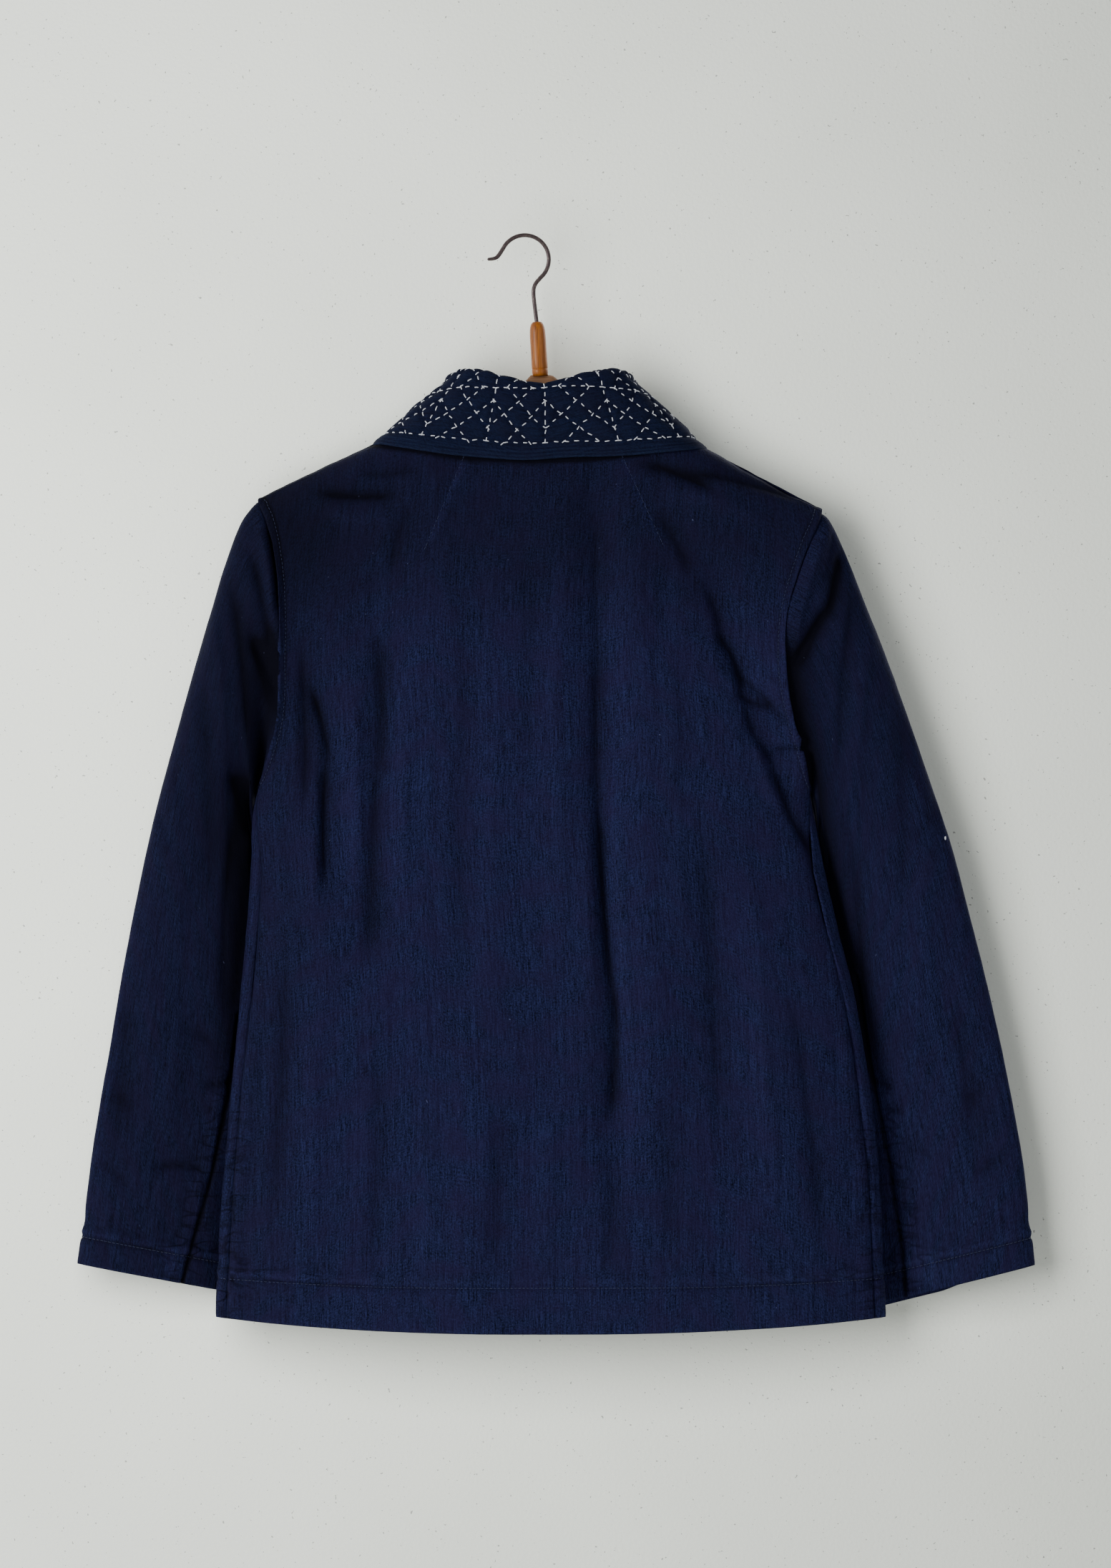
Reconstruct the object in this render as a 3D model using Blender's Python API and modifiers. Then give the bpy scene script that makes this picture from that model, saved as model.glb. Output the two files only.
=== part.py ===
"""An indigo work jacket with a turn-down collar, hung by its shoulders on a wooden hanger.

It is seen with the back towards -Y. The origin is the underside of the hook's bend, where the
hanger hangs. Every size in the tables is in millimetres and is turned to metres where a mesh is
made. Each cloth piece is a wall on the inner surface that the functions below describe.
"""
import math
from collections import namedtuple

import bpy
from mathutils import Vector

MM = 0.001
OBJECT_NAME = "jacket_on_hanger"

CLOTH = 1.5             # wall of the body and sleeves
COLLAR_CLOTH = 2.2      # two layers, quilted together
SEAM_GAP = 0.36         # between two pieces that are sewn edge to edge
COLLAR_SEAM = 1.2       # between the collar's foot and the neckline, which bends more
CLEAR = 1.0             # between the sleeve and the front that it hangs against
BEND_RINGS = 4          # rings over which a sleeve loses the armhole's bend
PUSH_PER_RING = 7.0     # how fast the front's push on a sleeve fades, ring by ring
PUSH_PER_COLUMN = 3.0   # and round the sleeve

SHOULDER_ROUND = 24.0   # how far down the cloth takes to round over the hanger
ARMHOLE_DEPTH = 23.0    # half of the armhole, front to back
SIDE_WRAP = 8.0         # how far the fronts come round to the back, at the side seams
HEM_DROP = 12.5         # the back hem is this much lower in the middle than at its sides
FRONT_HEM_DROP = 14.5
CURVE_POWER = 2.4       # of the hem's and the back neckline's curve: flat in the middle
WRAP_START = 60.0       # the side seams come round to the back over this height

SHOULDER_COLUMNS = 8    # facets from a side to the line below the neck's side
BACK_NECK_COLUMNS = 8
FRONT_NECK_COLUMNS = 6
ARMHOLE_ROWS = 10
SKIRT_ROWS = 11
BACK_NECK_Z = -147.0    # the back neckline's lowest point
COLLAR_MIDDLE = 13.5

# A side of the body: the end of its shoulder, its underarm, the neck's side, and the top and
# bottom of its front edge. The shoulders' ridge rises towards the neck by ridge_slope.
Side = namedtuple("Side", "shoulder_x shoulder_z underarm_y underarm_z neck_x front_neck_x "
                          "front_neck_z front_hem_x ridge_slope")
SIDES = {
    "left": Side(-200.9, -198.0, 3.0, -418.0, -70.0, -18.0, -206.0, -27.0, 0.466),
    "right": Side(228.4, -207.0, 3.0, -420.0, 97.0, 48.0, -206.0, 108.0, -0.522),
}

# The body from its armholes to its hem: how far its edges reach, and its half depths.
Level = namedtuple("Level", "z left right back front")
BODY = [
    Level(-100.0, -200.9, 228.4, 16.0, 15.0),
    Level(-150.0, -200.9, 228.4, 19.0, 18.0),
    Level(-199.0, -200.9, 228.4, 22.0, 21.0),
    Level(-215.0, -194.6, 225.4, 23.0, 22.0),
    Level(-235.0, -189.8, 217.2, 24.5, 23.5),
    Level(-260.0, -186.6, 208.6, 26.0, 25.0),
    Level(-290.0, -184.9, 201.0, 27.5, 26.0),
    Level(-330.0, -185.2, 200.6, 28.5, 27.0),
    Level(-365.0, -186.5, 206.0, 29.0, 27.5),
    Level(-393.0, -192.8, 213.5, 29.0, 28.0),
    Level(-435.0, -204.0, 220.5, 29.5, 28.0),
    Level(-475.0, -205.9, 228.3, 30.0, 28.5),
    Level(-525.0, -209.6, 239.7, 30.5, 29.0),
    Level(-580.0, -214.6, 253.3, 31.0, 29.5),
    Level(-640.0, -220.3, 263.3, 31.5, 30.0),
    Level(-715.0, -227.0, 271.0, 32.0, 30.0),
    Level(-770.0, -231.0, 273.8, 32.5, 30.5),
    Level(-817.0, -232.8, 275.9, 33.0, 31.0),
]

# Large folds of the back and fronts: a line from one end to the other, its half width and depth.
Fold = namedtuple("Fold", "x0 z0 x1 z1 width depth")
BACK_FOLDS = [
    Fold(57.0, -215.0, 69.0, -680.0, 17.0, 5.5),
    Fold(84.0, -250.0, 98.0, -640.0, 20.0, -3.0),
    Fold(-105.0, -320.0, -112.0, -490.0, 26.0, 4.0),
    Fold(-150.0, -355.0, -140.0, -470.0, 15.0, 3.5),
    Fold(148.5, -268.0, 190.0, -385.0, 16.0, 4.5),
    Fold(-30.0, -640.0, -44.0, -800.0, 30.0, -3.0),
    Fold(150.0, -600.0, 158.0, -800.0, 32.0, 3.0),
]
FRONT_FOLDS = [
    Fold(-120.0, -230.0, -105.0, -560.0, 22.0, 4.5),
    Fold(-75.0, -400.0, -82.0, -760.0, 24.0, -3.0),
    Fold(142.0, -230.0, 160.0, -600.0, 24.0, 4.5),
    Fold(200.0, -520.0, 205.0, -780.0, 26.0, 3.0),
]

# The sleeves, a section a row: its outer and inner edge, its half depth, and how far its outer
# edge and its inner edge lie forward of the armhole.
Section = namedtuple("Section", "outer_x outer_z inner_x inner_z depth outer_y inner_y")
SLEEVES = {
    "left": [
        Section(-212.8, -216.5, -204.5, -428.0, 23.0, 0.0, 7.0),
        Section(-225.2, -248.9, -203.5, -446.0, 23.5, 0.5, 13.0),
        Section(-234.9, -281.3, -200.5, -466.0, 24.0, 1.0, 18.0),
        Section(-244.6, -313.7, -196.0, -489.0, 24.0, 2.0, 21.0),
        Section(-258.1, -362.3, -191.5, -516.0, 23.0, 3.0, 26.0),
        Section(-271.6, -410.9, -186.0, -545.0, 21.0, 4.0, 31.0),
        Section(-283.5, -459.5, -180.0, -577.0, 19.0, 5.0, 34.0),
        Section(-293.8, -508.1, -174.0, -610.0, 17.0, 6.0, 36.0),
        Section(-302.9, -556.7, -170.0, -643.0, 15.5, 7.0, 37.0),
        Section(-311.0, -605.3, -170.0, -677.0, 14.5, 8.0, 38.0),
        Section(-319.7, -653.9, -175.0, -711.0, 14.0, 9.0, 38.0),
        Section(-327.2, -702.5, -184.0, -745.0, 14.0, 10.0, 38.0),
        Section(-332.8, -748.0, -196.0, -778.0, 14.0, 11.0, 38.0),
        Section(-337.5, -777.6, -205.0, -803.0, 14.5, 12.0, 38.0),
    ],
    "right": [
        Section(234.4, -218.5, 221.5, -430.0, 23.0, 0.0, 7.0),
        Section(248.4, -248.9, 222.0, -448.0, 23.5, 0.5, 13.0),
        Section(260.8, -281.3, 222.5, -469.0, 24.0, 1.0, 18.0),
        Section(273.8, -313.7, 223.0, -493.0, 24.0, 2.0, 23.0),
        Section(291.6, -362.3, 221.0, -520.0, 23.0, 3.0, 28.5),
        Section(308.3, -410.9, 217.5, -550.0, 21.0, 4.0, 31.0),
        Section(324.5, -459.5, 216.0, -582.0, 19.0, 5.0, 34.0),
        Section(337.5, -508.1, 212.0, -615.0, 17.0, 6.0, 36.0),
        Section(349.9, -556.7, 212.0, -648.0, 15.5, 7.0, 37.0),
        Section(361.3, -605.3, 216.0, -682.0, 14.5, 8.0, 38.0),
        Section(371.0, -653.9, 225.0, -716.0, 14.0, 9.0, 38.0),
        Section(379.6, -702.5, 237.0, -750.0, 14.0, 10.0, 38.0),
        Section(384.8, -748.0, 249.5, -784.0, 14.0, 11.0, 38.0),
        Section(388.5, -778.7, 257.7, -812.0, 14.5, 12.0, 38.0),
    ],
}

# The collar from the middle of the back (0) by the neck's side (1) to its front end (2): where
# it rolls over, how far out its edge lies, and how far below the shoulders' ridge the edge is,
# which is less than 0 on the front.
Station = namedtuple("Station", "at roll_out roll_y roll_z edge_out edge_down")
COLLAR = [
    Station(0.00, 0.0, -20.0, -113.5, 0.0, 70.8),
    Station(0.30, 24.0, -19.0, -106.0, 33.0, 53.8),
    Station(0.60, 46.0, -15.0, -100.0, 68.0, 34.5),
    Station(0.85, 60.0, -8.0, -99.5, 98.0, 16.5),
    Station(1.00, 69.0, 2.0, -104.0, 120.0, 5.5),
    Station(1.083, 72.0, 7.5, -108.0, 126.5, 0.0),
    Station(1.167, 73.0, 13.0, -114.0, 129.0, -5.0),
    Station(1.40, 69.0, 23.0, -134.0, 125.0, -24.0),
    Station(1.70, 54.0, 30.0, -164.0, 105.0, -68.0),
    Station(2.00, 34.0, 32.0, -190.0, 76.0, -114.0),
]
ROLL_HALF = 4.6         # half of the room inside the collar's fold
EDGE_LIFT = 1.5         # the collar's edge lies this far off the cloth under it
FALL_BULGE = 1.5        # the collar between its roll and its edge curves out this far

HOOK_WIRE = 2.5
HOOK_MIDDLE = (1.8, -17.05)
HOOK_BEND = 18.3        # radius of the wire's middle
HOOK_END = [(-19.1, -15.3), (-22.5, -16.6), (-26.7, -17.0)]
HOOK_STEM = [(13.2, -31.6), (10.4, -34.9), (8.8, -38.6), (8.5, -43.0), (9.1, -50.0), (10.2, -59.0),
             (11.3, -68.0), (12.0, -75.0)]

NECK_TOP = (11.0, -64.3)
NECK_FOOT = (13.5, -103.9)
NECK_RADIUS = 5.5

BAR_THICK = 11.0
BAR_CREST = -104.6
BarPlace = namedtuple("BarPlace", "out below height")
BAR = [
    BarPlace(0.0, 1.0, 27.0),
    BarPlace(5.5, 1.0, 27.5),
    BarPlace(12.0, 4.5, 26.0),
    BarPlace(35.0, 5.0, 25.0),
    BarPlace(80.0, 6.0, 24.0),
    BarPlace(105.0, 1.4, 23.0),
    BarPlace(160.0, 1.4, 21.0),
    BarPlace(176.0, 2.4, 18.0),
    BarPlace(184.0, 5.5, 9.0),
]

# ---------------------------------------------------------------- the surfaces

def between(rows, key, name, at):
    """The value of a column at a place between a table's rows, on a smooth curve."""
    keys = [getattr(row, key) for row in rows]
    values = [getattr(row, name) for row in rows]
    if keys[0] > keys[-1]:
        keys, values = keys[::-1], values[::-1]
    if at <= keys[0]:
        return values[0]
    if at >= keys[-1]:
        return values[-1]
    i = max(n for n in range(len(keys) - 1) if keys[n] <= at)
    step = keys[i + 1] - keys[i]

    def slope(n):
        if n <= 0 or n >= len(keys) - 1:
            return (values[i + 1] - values[i]) / step
        return (values[n + 1] - values[n - 1]) / (keys[n + 1] - keys[n - 1])

    t = (at - keys[i]) / step
    rise = values[i + 1] - values[i]
    start, end = slope(i) * step, slope(i + 1) * step
    return values[i] + t * (start + t * (3 * rise - 2 * start - end + t * (start + end - 2 * rise)))


def mix(a, b, share):
    return a + (b - a) * share


def ridge(x):
    """Height of the shoulders' ridge, under the cloth, carried on to the middle."""
    return min(side.shoulder_z + side.ridge_slope * (x - side.shoulder_x)
               for side in SIDES.values()) - CLOTH


def fold_depth(folds, x, z):
    """How far the folds push the cloth in at a place."""
    depth = 0.0
    for fold in folds:
        run = Vector((fold.x1 - fold.x0, fold.z1 - fold.z0))
        to = Vector((x - fold.x0, z - fold.z0))
        along = to.dot(run) / run.length_squared
        off = abs(run.x * to.y - run.y * to.x) / run.length
        past = max(0.0, -along, along - 1.0) * run.length
        depth += fold.depth * math.exp(-(off / fold.width) ** 2 - (past / (2 * fold.width)) ** 2)
    return depth


def armhole_share(side, z):
    return min(1.0, max(0.0, (side.shoulder_z - z) / (side.shoulder_z - side.underarm_z)))


def edges(z):
    """The body's left and right edge at a height, on the cloth's inner side."""
    return between(BODY, "z", "left", z) + CLOTH, between(BODY, "z", "right", z) - CLOTH


def body_depth(x, z, column, folds):
    """How far the back or a front lies from the middle plane, with no sign."""
    left, right = edges(z)
    middle, half = (left + right) / 2, (right - left) / 2
    off = min(1.0, abs(x - middle) / half)
    down = min(1.0, max(0.0, (ridge(x) - z) / SHOULDER_ROUND))
    full = (between(BODY, "z", column, z) - CLOTH) * math.sqrt(1 - (1 - down) ** 2)
    side = SIDES["left" if x < middle else "right"]
    share = armhole_share(side, z)
    open_half = 2 * ARMHOLE_DEPTH * math.sqrt(share * (1 - share))
    inside = math.sqrt(1 - off ** 3)
    quiet = min(1.0, 3 * inside) * math.sqrt(1 - (1 - down) ** 2)
    return open_half * (1 - inside) ** 2 + full * inside - fold_depth(folds, x, z) * quiet


def back_y(x, z):
    return -body_depth(x, z, "back", BACK_FOLDS)


def front_y(x, z):
    return body_depth(x, z, "front", FRONT_FOLDS)


def side_lean(side, z):
    """The armhole's foot lies a little forward; the side seam starts there."""
    return side.underarm_y * armhole_share(side, z) ** 2


def armhole_point(side, edge, turn):
    """A point of the armhole: turn 0 is the shoulder, pi the underarm, the back lies between."""
    share = (1 - math.cos(turn)) / 2
    z = mix(side.shoulder_z, side.underarm_z, share) - CLOTH * math.cos(turn)
    return Vector((edge(z), -ARMHOLE_DEPTH * math.sin(turn) + side_lean(side, z), z))


# ---------------------------------------------------------------- the panels

def row_heights(side):
    """Heights of the rows at one edge of the body, from the shoulder to the hem."""
    edge = edge_of(side)
    rows = [armhole_point(side, edge, math.pi * k / ARMHOLE_ROWS).z for k in range(ARMHOLE_ROWS + 1)]
    foot = BODY[-1].z
    return rows + [mix(rows[-1], foot, k / SKIRT_ROWS) for k in range(1, SKIRT_ROWS + 1)]


def edge_of(side):
    number = 0 if side is SIDES["left"] else 1
    return lambda z: edges(z)[number]


def wrap_at(side, z):
    """How far round to the back the side seam lies at a height."""
    return SIDE_WRAP * min(1.0, max(0.0, (side.underarm_z - z) / WRAP_START))


def top_weight(row):
    """How much of the shoulder line's shape a row keeps."""
    return max(0.0, (1 + math.cos(math.pi * min(row, ARMHOLE_ROWS) / ARMHOLE_ROWS)) / 2) ** 2


def hem_weight(row):
    return max(0.0, (row - ARMHOLE_ROWS) / SKIRT_ROWS) ** 2


def hem_curve(x, drop):
    """How far below its corners the hem lies."""
    left, right = BODY[-1].left, BODY[-1].right
    return drop * (1 - abs(2 * (x - left) / (right - left) - 1) ** CURVE_POWER)


def neck_drop(out):
    """Height of the back neckline, out is 0 in the middle and 1 at a side."""
    sides = [ridge(side.neck_x) for side in SIDES.values()]
    return mix(BACK_NECK_Z, sum(sides) / 2, abs(out) ** CURVE_POWER)


def back_neck(j):
    """Point of the back neckline, column 0 at the left side."""
    share = j / BACK_NECK_COLUMNS
    left, right = SIDES["left"].neck_x, SIDES["right"].neck_x
    x = mix(left, right, share)
    ends = mix(ridge(left), ridge(right), share)
    z = ends + neck_drop(2 * share - 1) - neck_drop(1)
    return Vector((x, back_y(x, z), z))


def front_neck(side, j):
    """Point of a front's neckline, column 0 at the neck's side."""
    share = j / FRONT_NECK_COLUMNS
    x = mix(side.neck_x, side.front_neck_x, share)
    fall = mix(share, math.sin(math.pi / 2 * share), 0.5)
    z = mix(ridge(side.neck_x), side.front_neck_z, fall)
    return Vector((x, front_y(x, z), z))


def side_steps(wrap, reach, round_edge):
    """Distances from the edge of the columns of a panel's side part; less than 0 is round it."""
    start = -math.sqrt(wrap) if round_edge else math.sqrt(wrap)
    turns = [mix(start, math.sqrt(reach), j / SHOULDER_COLUMNS) for j in range(SHOULDER_COLUMNS + 1)]
    return [math.copysign(t * t, t) for t in turns]


def body_row(row, heights):
    """A row's edges: x and z at the left and at the right."""
    z = [heights["left"][row], heights["right"][row]]
    return edges(z[0])[0], z[0], edges(z[1])[1], z[1]


def level_z(x, place):
    left, left_z, right, right_z = place
    return mix(left_z, right_z, (x - left) / (right - left))


def back_grid():
    heights = {name: row_heights(side) for name, side in SIDES.items()}
    neck_share = {name: (side.neck_x - edges(side.shoulder_z)[0])
                  / (edges(side.shoulder_z)[1] - edges(side.shoulder_z)[0])
                  for name, side in SIDES.items()}
    first = body_row(0, heights)
    grid, rises = [], []
    for row in range(ARMHOLE_ROWS + SKIRT_ROWS + 1):
        place = body_row(row, heights)
        left, _, right, _ = place
        width = right - left
        wraps = [wrap_at(side, heights[name][row]) for name, side in SIDES.items()]
        xs = [left + p for p in side_steps(wraps[0], neck_share["left"] * width, False)]
        far = [right - p for p in side_steps(wraps[1], (1 - neck_share["right"]) * width, False)][::-1]
        xs += [mix(xs[-1], far[0], j / BACK_NECK_COLUMNS) for j in range(1, BACK_NECK_COLUMNS)] + far
        if row == 0:
            tops = [ridge(x) for x in xs]
            for j in range(1, BACK_NECK_COLUMNS):
                tops[SHOULDER_COLUMNS + j] = back_neck(j).z
            rises = [top - level_z(x, first) for x, top in zip(xs, tops)]
        line = []
        for x, rise in zip(xs, rises):
            z = level_z(x, place) + rise * top_weight(row) - hem_curve(x, HEM_DROP) * hem_weight(row)
            line.append(Vector((x, back_y(x, z), z)))
        if row <= ARMHOLE_ROWS:
            turn = math.pi * row / ARMHOLE_ROWS
            line[0] = armhole_point(SIDES["left"], edge_of(SIDES["left"]), turn)
            line[-1] = armhole_point(SIDES["right"], edge_of(SIDES["right"]), turn)
        grid.append(line)
    return grid


def front_grid(name):
    """Rows of a front, each from its side seam to its front edge."""
    side = SIDES[name]
    inward = 1 if name == "left" else -1
    edge = edge_of(side)
    heights = row_heights(side)
    reach = abs(side.neck_x - edge(side.shoulder_z)) / abs(side.front_neck_x - edge(side.shoulder_z))
    grid, rises = [], []
    rows = ARMHOLE_ROWS + SKIRT_ROWS
    for row in range(rows + 1):
        z_edge = heights[row]
        side_x = edge(z_edge)
        keep = top_weight(row)
        front_z = z_edge + (side.front_neck_z - heights[0]) * keep - FRONT_HEM_DROP * hem_weight(row)
        down = (side.front_neck_z - front_z) / (side.front_neck_z - BODY[-1].z)
        front_x = mix(side.front_neck_x, side.front_hem_x, down)
        neck_x = mix(side_x, front_x, reach)
        steps = side_steps(wrap_at(side, z_edge), abs(neck_x - side_x), True)
        places = [(side_x + inward * abs(p), p < 0) for p in steps]
        for j in range(1, FRONT_NECK_COLUMNS + 1):
            places.append((mix(neck_x, front_x, j / FRONT_NECK_COLUMNS), False))
        if row == 0:
            tops = [ridge(x) for x, _ in places[:SHOULDER_COLUMNS + 1]]
            tops += [front_neck(side, j).z for j in range(1, FRONT_NECK_COLUMNS + 1)]
            rises = [top - z_edge for top in tops]
        line = []
        for (x, behind), rise in zip(places, rises):
            z = z_edge + rise * keep - hem_curve(x, FRONT_HEM_DROP) * hem_weight(row)
            line.append(Vector((x, back_y(x, z) if behind else front_y(x, z), z)))
        if row <= ARMHOLE_ROWS:
            point = armhole_point(side, edge, math.pi * row / ARMHOLE_ROWS)
            line[0] = Vector((point.x, 2 * side_lean(side, point.z) - point.y, point.z))
        grid.append(line)
    return grid


# ---------------------------------------------------------------- the sleeves

def clear_of_front(name, x, z, half):
    """How far forward a sleeve's middle must lie at a place, to pass the body's front."""
    side = SIDES[name]
    if z > side.underarm_z + 2.0:
        return None
    inward = 1 if name == "left" else -1
    room = CLOTH + CLEAR
    reach = x + inward * room
    if (reach - edge_of(side)(z)) * inward <= 0:
        return None
    return front_y(reach, z) + CLOTH + CLEAR + half


def sleeve_rings(name):
    """Rings of a sleeve from the armhole to the cuff, each from its outer edge round the back."""
    side = SIDES[name]
    count = 2 * ARMHOLE_ROWS
    turns = [2 * math.pi * k / count for k in range(count)]
    shares = [(1 - math.cos(turn)) / 2 for turn in turns]
    armhole = [armhole_point(side, edge_of(side), turn) for turn in turns]
    for k in range(ARMHOLE_ROWS + 1, count):
        back = armhole[count - k]
        armhole[k].y = 2 * side_lean(side, back.z) - back.y
    outward = -1 if name == "left" else 1
    for point, share in zip(armhole, shares):
        point.x += outward * (CLOTH + SEAM_GAP) * max(0.0, (share - 0.5) / 0.5)
    top, foot = armhole[0], armhole[ARMHOLE_ROWS]
    bends = [point.x - mix(top.x, foot.x, share) for point, share in zip(armhole, shares)]
    rings, needs = [], {}
    for i, section in enumerate(SLEEVES[name]):
        outer = Vector((section.outer_x, 0, section.outer_z))
        inner = Vector((section.inner_x, 0, section.inner_z))
        ring = []
        for k, (turn, share) in enumerate(zip(turns, shares)):
            point = outer.lerp(inner, share)
            point.x += bends[k] * max(0.0, 1 - (i + 1) / BEND_RINGS) ** 2
            half = section.depth * math.copysign(abs(math.sin(turn)) ** 0.85, math.sin(turn))
            middle = mix(section.outer_y, section.inner_y, share ** 1.4)
            needed = clear_of_front(name, point.x, point.z, abs(half))
            if needed is not None and needed > middle:
                needs[i, min(k, count - k)] = needed - middle
            point.y = middle - half
            ring.append(point)
        rings.append(ring)
    for i, ring in enumerate(rings):
        for k, point in enumerate(ring):
            place = min(k, count - k)
            lifts = [lift - PUSH_PER_RING * abs(i - ring_no) - PUSH_PER_COLUMN * abs(place - column)
                     for (ring_no, column), lift in needs.items()]
            point.y += max([0.0] + lifts)
    return [armhole] + rings


def ring_faces(rings):
    count = len(rings[0])
    return [(i * count + k, i * count + (k + 1) % count,
             (i + 1) * count + (k + 1) % count, (i + 1) * count + k)
            for i in range(len(rings) - 1) for k in range(count)]


def sleeve_halves(name):
    """A sleeve's back and front half, each as the outer and the inner side of its wall. They
    meet along the sleeve's outer and inner edge."""
    rings = trim(sleeve_rings(name), True)
    count = len(rings[0])
    tube = bpy.data.meshes.new("tube")
    tube.from_pydata([point for ring in rings for point in ring], [], ring_faces(rings))
    outs = [vertex.normal.copy() for vertex in tube.vertices]
    if outs[0].dot(rings[0][0] - rings[0][ARMHOLE_ROWS]) < 0:
        outs = [-out for out in outs]
    walls = [[(point, point - outs[i * count + k] * CLOTH) for k, point in enumerate(ring)]
             for i, ring in enumerate(rings)]
    bpy.data.meshes.remove(tube)
    halves = []
    for half, first in (("back", 0), ("front", ARMHOLE_ROWS)):
        sides = []
        for side in (0, 1):
            grid = [[wall[(first + k) % count][side].copy() for k in range(ARMHOLE_ROWS + 1)]
                    for wall in walls]
            sides.append(grid)
        for grid in sides:
            for line, outer in zip(grid, [list(line) for line in sides[0]]):
                line[0] += (outer[1] - outer[0]).normalized() * (SEAM_GAP / 2)
                line[-1] += (outer[-2] - outer[-1]).normalized() * (SEAM_GAP / 2)
        halves.append((half, *sides))
    return halves


# ---------------------------------------------------------------- the collar

def facing(x, y, z):
    """Which way the cloth faces at a place on the shoulders or the neckline."""
    left = 1 - min(1.0, max(0.0, (ridge(x) - z) / SHOULDER_ROUND))
    slope = (ridge(x + 1) - ridge(x - 1)) / 2
    full = abs(y) / math.sqrt(max(1e-6, 1 - left * left))
    return Vector((-slope * left, y / max(full, 1.0) ** 2 * SHOULDER_ROUND, left)).normalized()


def on_shoulder(x, down, lift):
    """A point off the cloth, so far below the ridge; down is less than 0 on the front."""
    z = ridge(x) - abs(down)
    y = front_y(x, z) if down < 0 else back_y(x, z)
    return Vector((x, y, z)) + facing(x, y, z) * lift


def roll_point(at, way):
    return Vector((COLLAR_MIDDLE + way * between(COLLAR, "at", "roll_out", at),
                   between(COLLAR, "at", "roll_y", at), between(COLLAR, "at", "roll_z", at)))


def collar_profile(at, base, away, right):
    """Points across the collar, from the neckline over the roll to the outer edge."""
    way = 1 if right else -1
    roll = roll_point(at, way)
    edge = on_shoulder(COLLAR_MIDDLE + way * between(COLLAR, "at", "edge_out", at),
                       between(COLLAR, "at", "edge_down", at),
                       COLLAR_CLOTH + CLOTH + EDGE_LIFT)
    along = (roll_point(at + 0.01, way) - roll_point(max(0.0, at - 0.01), way)).normalized()
    if at == 0:
        along = Vector((way, 0, 0))
    up = (Vector((0, 0, 1)) - along * along.z).normalized()
    out = up.cross(along) * -way
    inner = roll - (out + up) * ROLL_HALF
    outer = roll + (out - up) * ROLL_HALF
    stand = inner - base - away * COLLAR_CLOTH
    turned = math.atan2(stand.dot(facing(*base)), stand.dot(away))
    base = base + away * (COLLAR_SEAM + COLLAR_CLOTH * max(0.0, math.sin(turned)))
    points = [base, base.lerp(inner, 0.5), inner]
    points += [roll - out * ROLL_HALF * 0.75 - up * ROLL_HALF * 0.3, roll,
               roll + out * ROLL_HALF * 0.75 - up * ROLL_HALF * 0.3, outer]
    for share in (0.25, 0.5, 0.75, 1.0):
        bulge = 4 * share * (1 - share)
        points.append(outer.lerp(edge, share) + (out + up) * FALL_BULGE * bulge)
    return points


def collar_grid():
    """Rows of the collar, each across it, from its left front end to its right one."""
    left, right = SIDES["left"], SIDES["right"]
    fronts = range(1, FRONT_NECK_COLUMNS + 1)
    rows = [(-1 - j / FRONT_NECK_COLUMNS, front_neck(left, j)) for j in reversed(fronts)]
    rows += [(2 * j / BACK_NECK_COLUMNS - 1, back_neck(j)) for j in range(BACK_NECK_COLUMNS + 1)]
    rows += [(1 + j / FRONT_NECK_COLUMNS, front_neck(right, j)) for j in fronts]
    fine = []
    for (at, base), (next_at, next_base) in zip(rows, rows[1:]):
        fine += [(at, base), ((at + next_at) / 2, (base + next_base) / 2)]
    fine.append(rows[-1])
    grid = []
    for n, (at, base) in enumerate(fine):
        along = fine[min(n + 1, len(fine) - 1)][1] - fine[max(n - 1, 0)][1]
        away = facing(*base).cross(along).normalized()
        grid.append(collar_profile(abs(at), base, away, at > 0))
    return grid


# ---------------------------------------------------------------- meshes

def trim(grid, first_row=False, last_row=False, first_column=False, last_column=False):
    """Draws a grid's sides in by half the seam gap."""
    def drawn(point, towards):
        return point + (towards - point).normalized() * (SEAM_GAP / 2)

    if first_row:
        grid[0] = [drawn(a, b) for a, b in zip(grid[0], grid[1])]
    if last_row:
        grid[-1] = [drawn(a, b) for a, b in zip(grid[-1], grid[-2])]
    for line in grid:
        if first_column:
            line[0] = drawn(line[0], line[1])
        if last_column:
            line[-1] = drawn(line[-1], line[-2])
    return grid


def cloth(name, grid, thickness, offset, material, closed=False, flip=False):
    """A wall of cloth on a grid of points."""
    points = [tuple(value * MM for value in point) for line in grid for point in line]
    wide = len(grid[0])
    faces = []
    for i in range(len(grid) - 1):
        for j in range(wide if closed else wide - 1):
            k = (j + 1) % wide
            face = (i * wide + j, i * wide + k, (i + 1) * wide + k, (i + 1) * wide + j)
            faces.append(face[::-1] if flip else face)
    mesh = bpy.data.meshes.new(name)
    mesh.from_pydata(points, [], faces)
    mesh.shade_smooth()
    piece = add(name, mesh, material)
    wall = piece.modifiers.new("Wall", "SOLIDIFY")
    wall.thickness = thickness * MM
    wall.offset = offset
    wall.use_rim = True
    return piece


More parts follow.
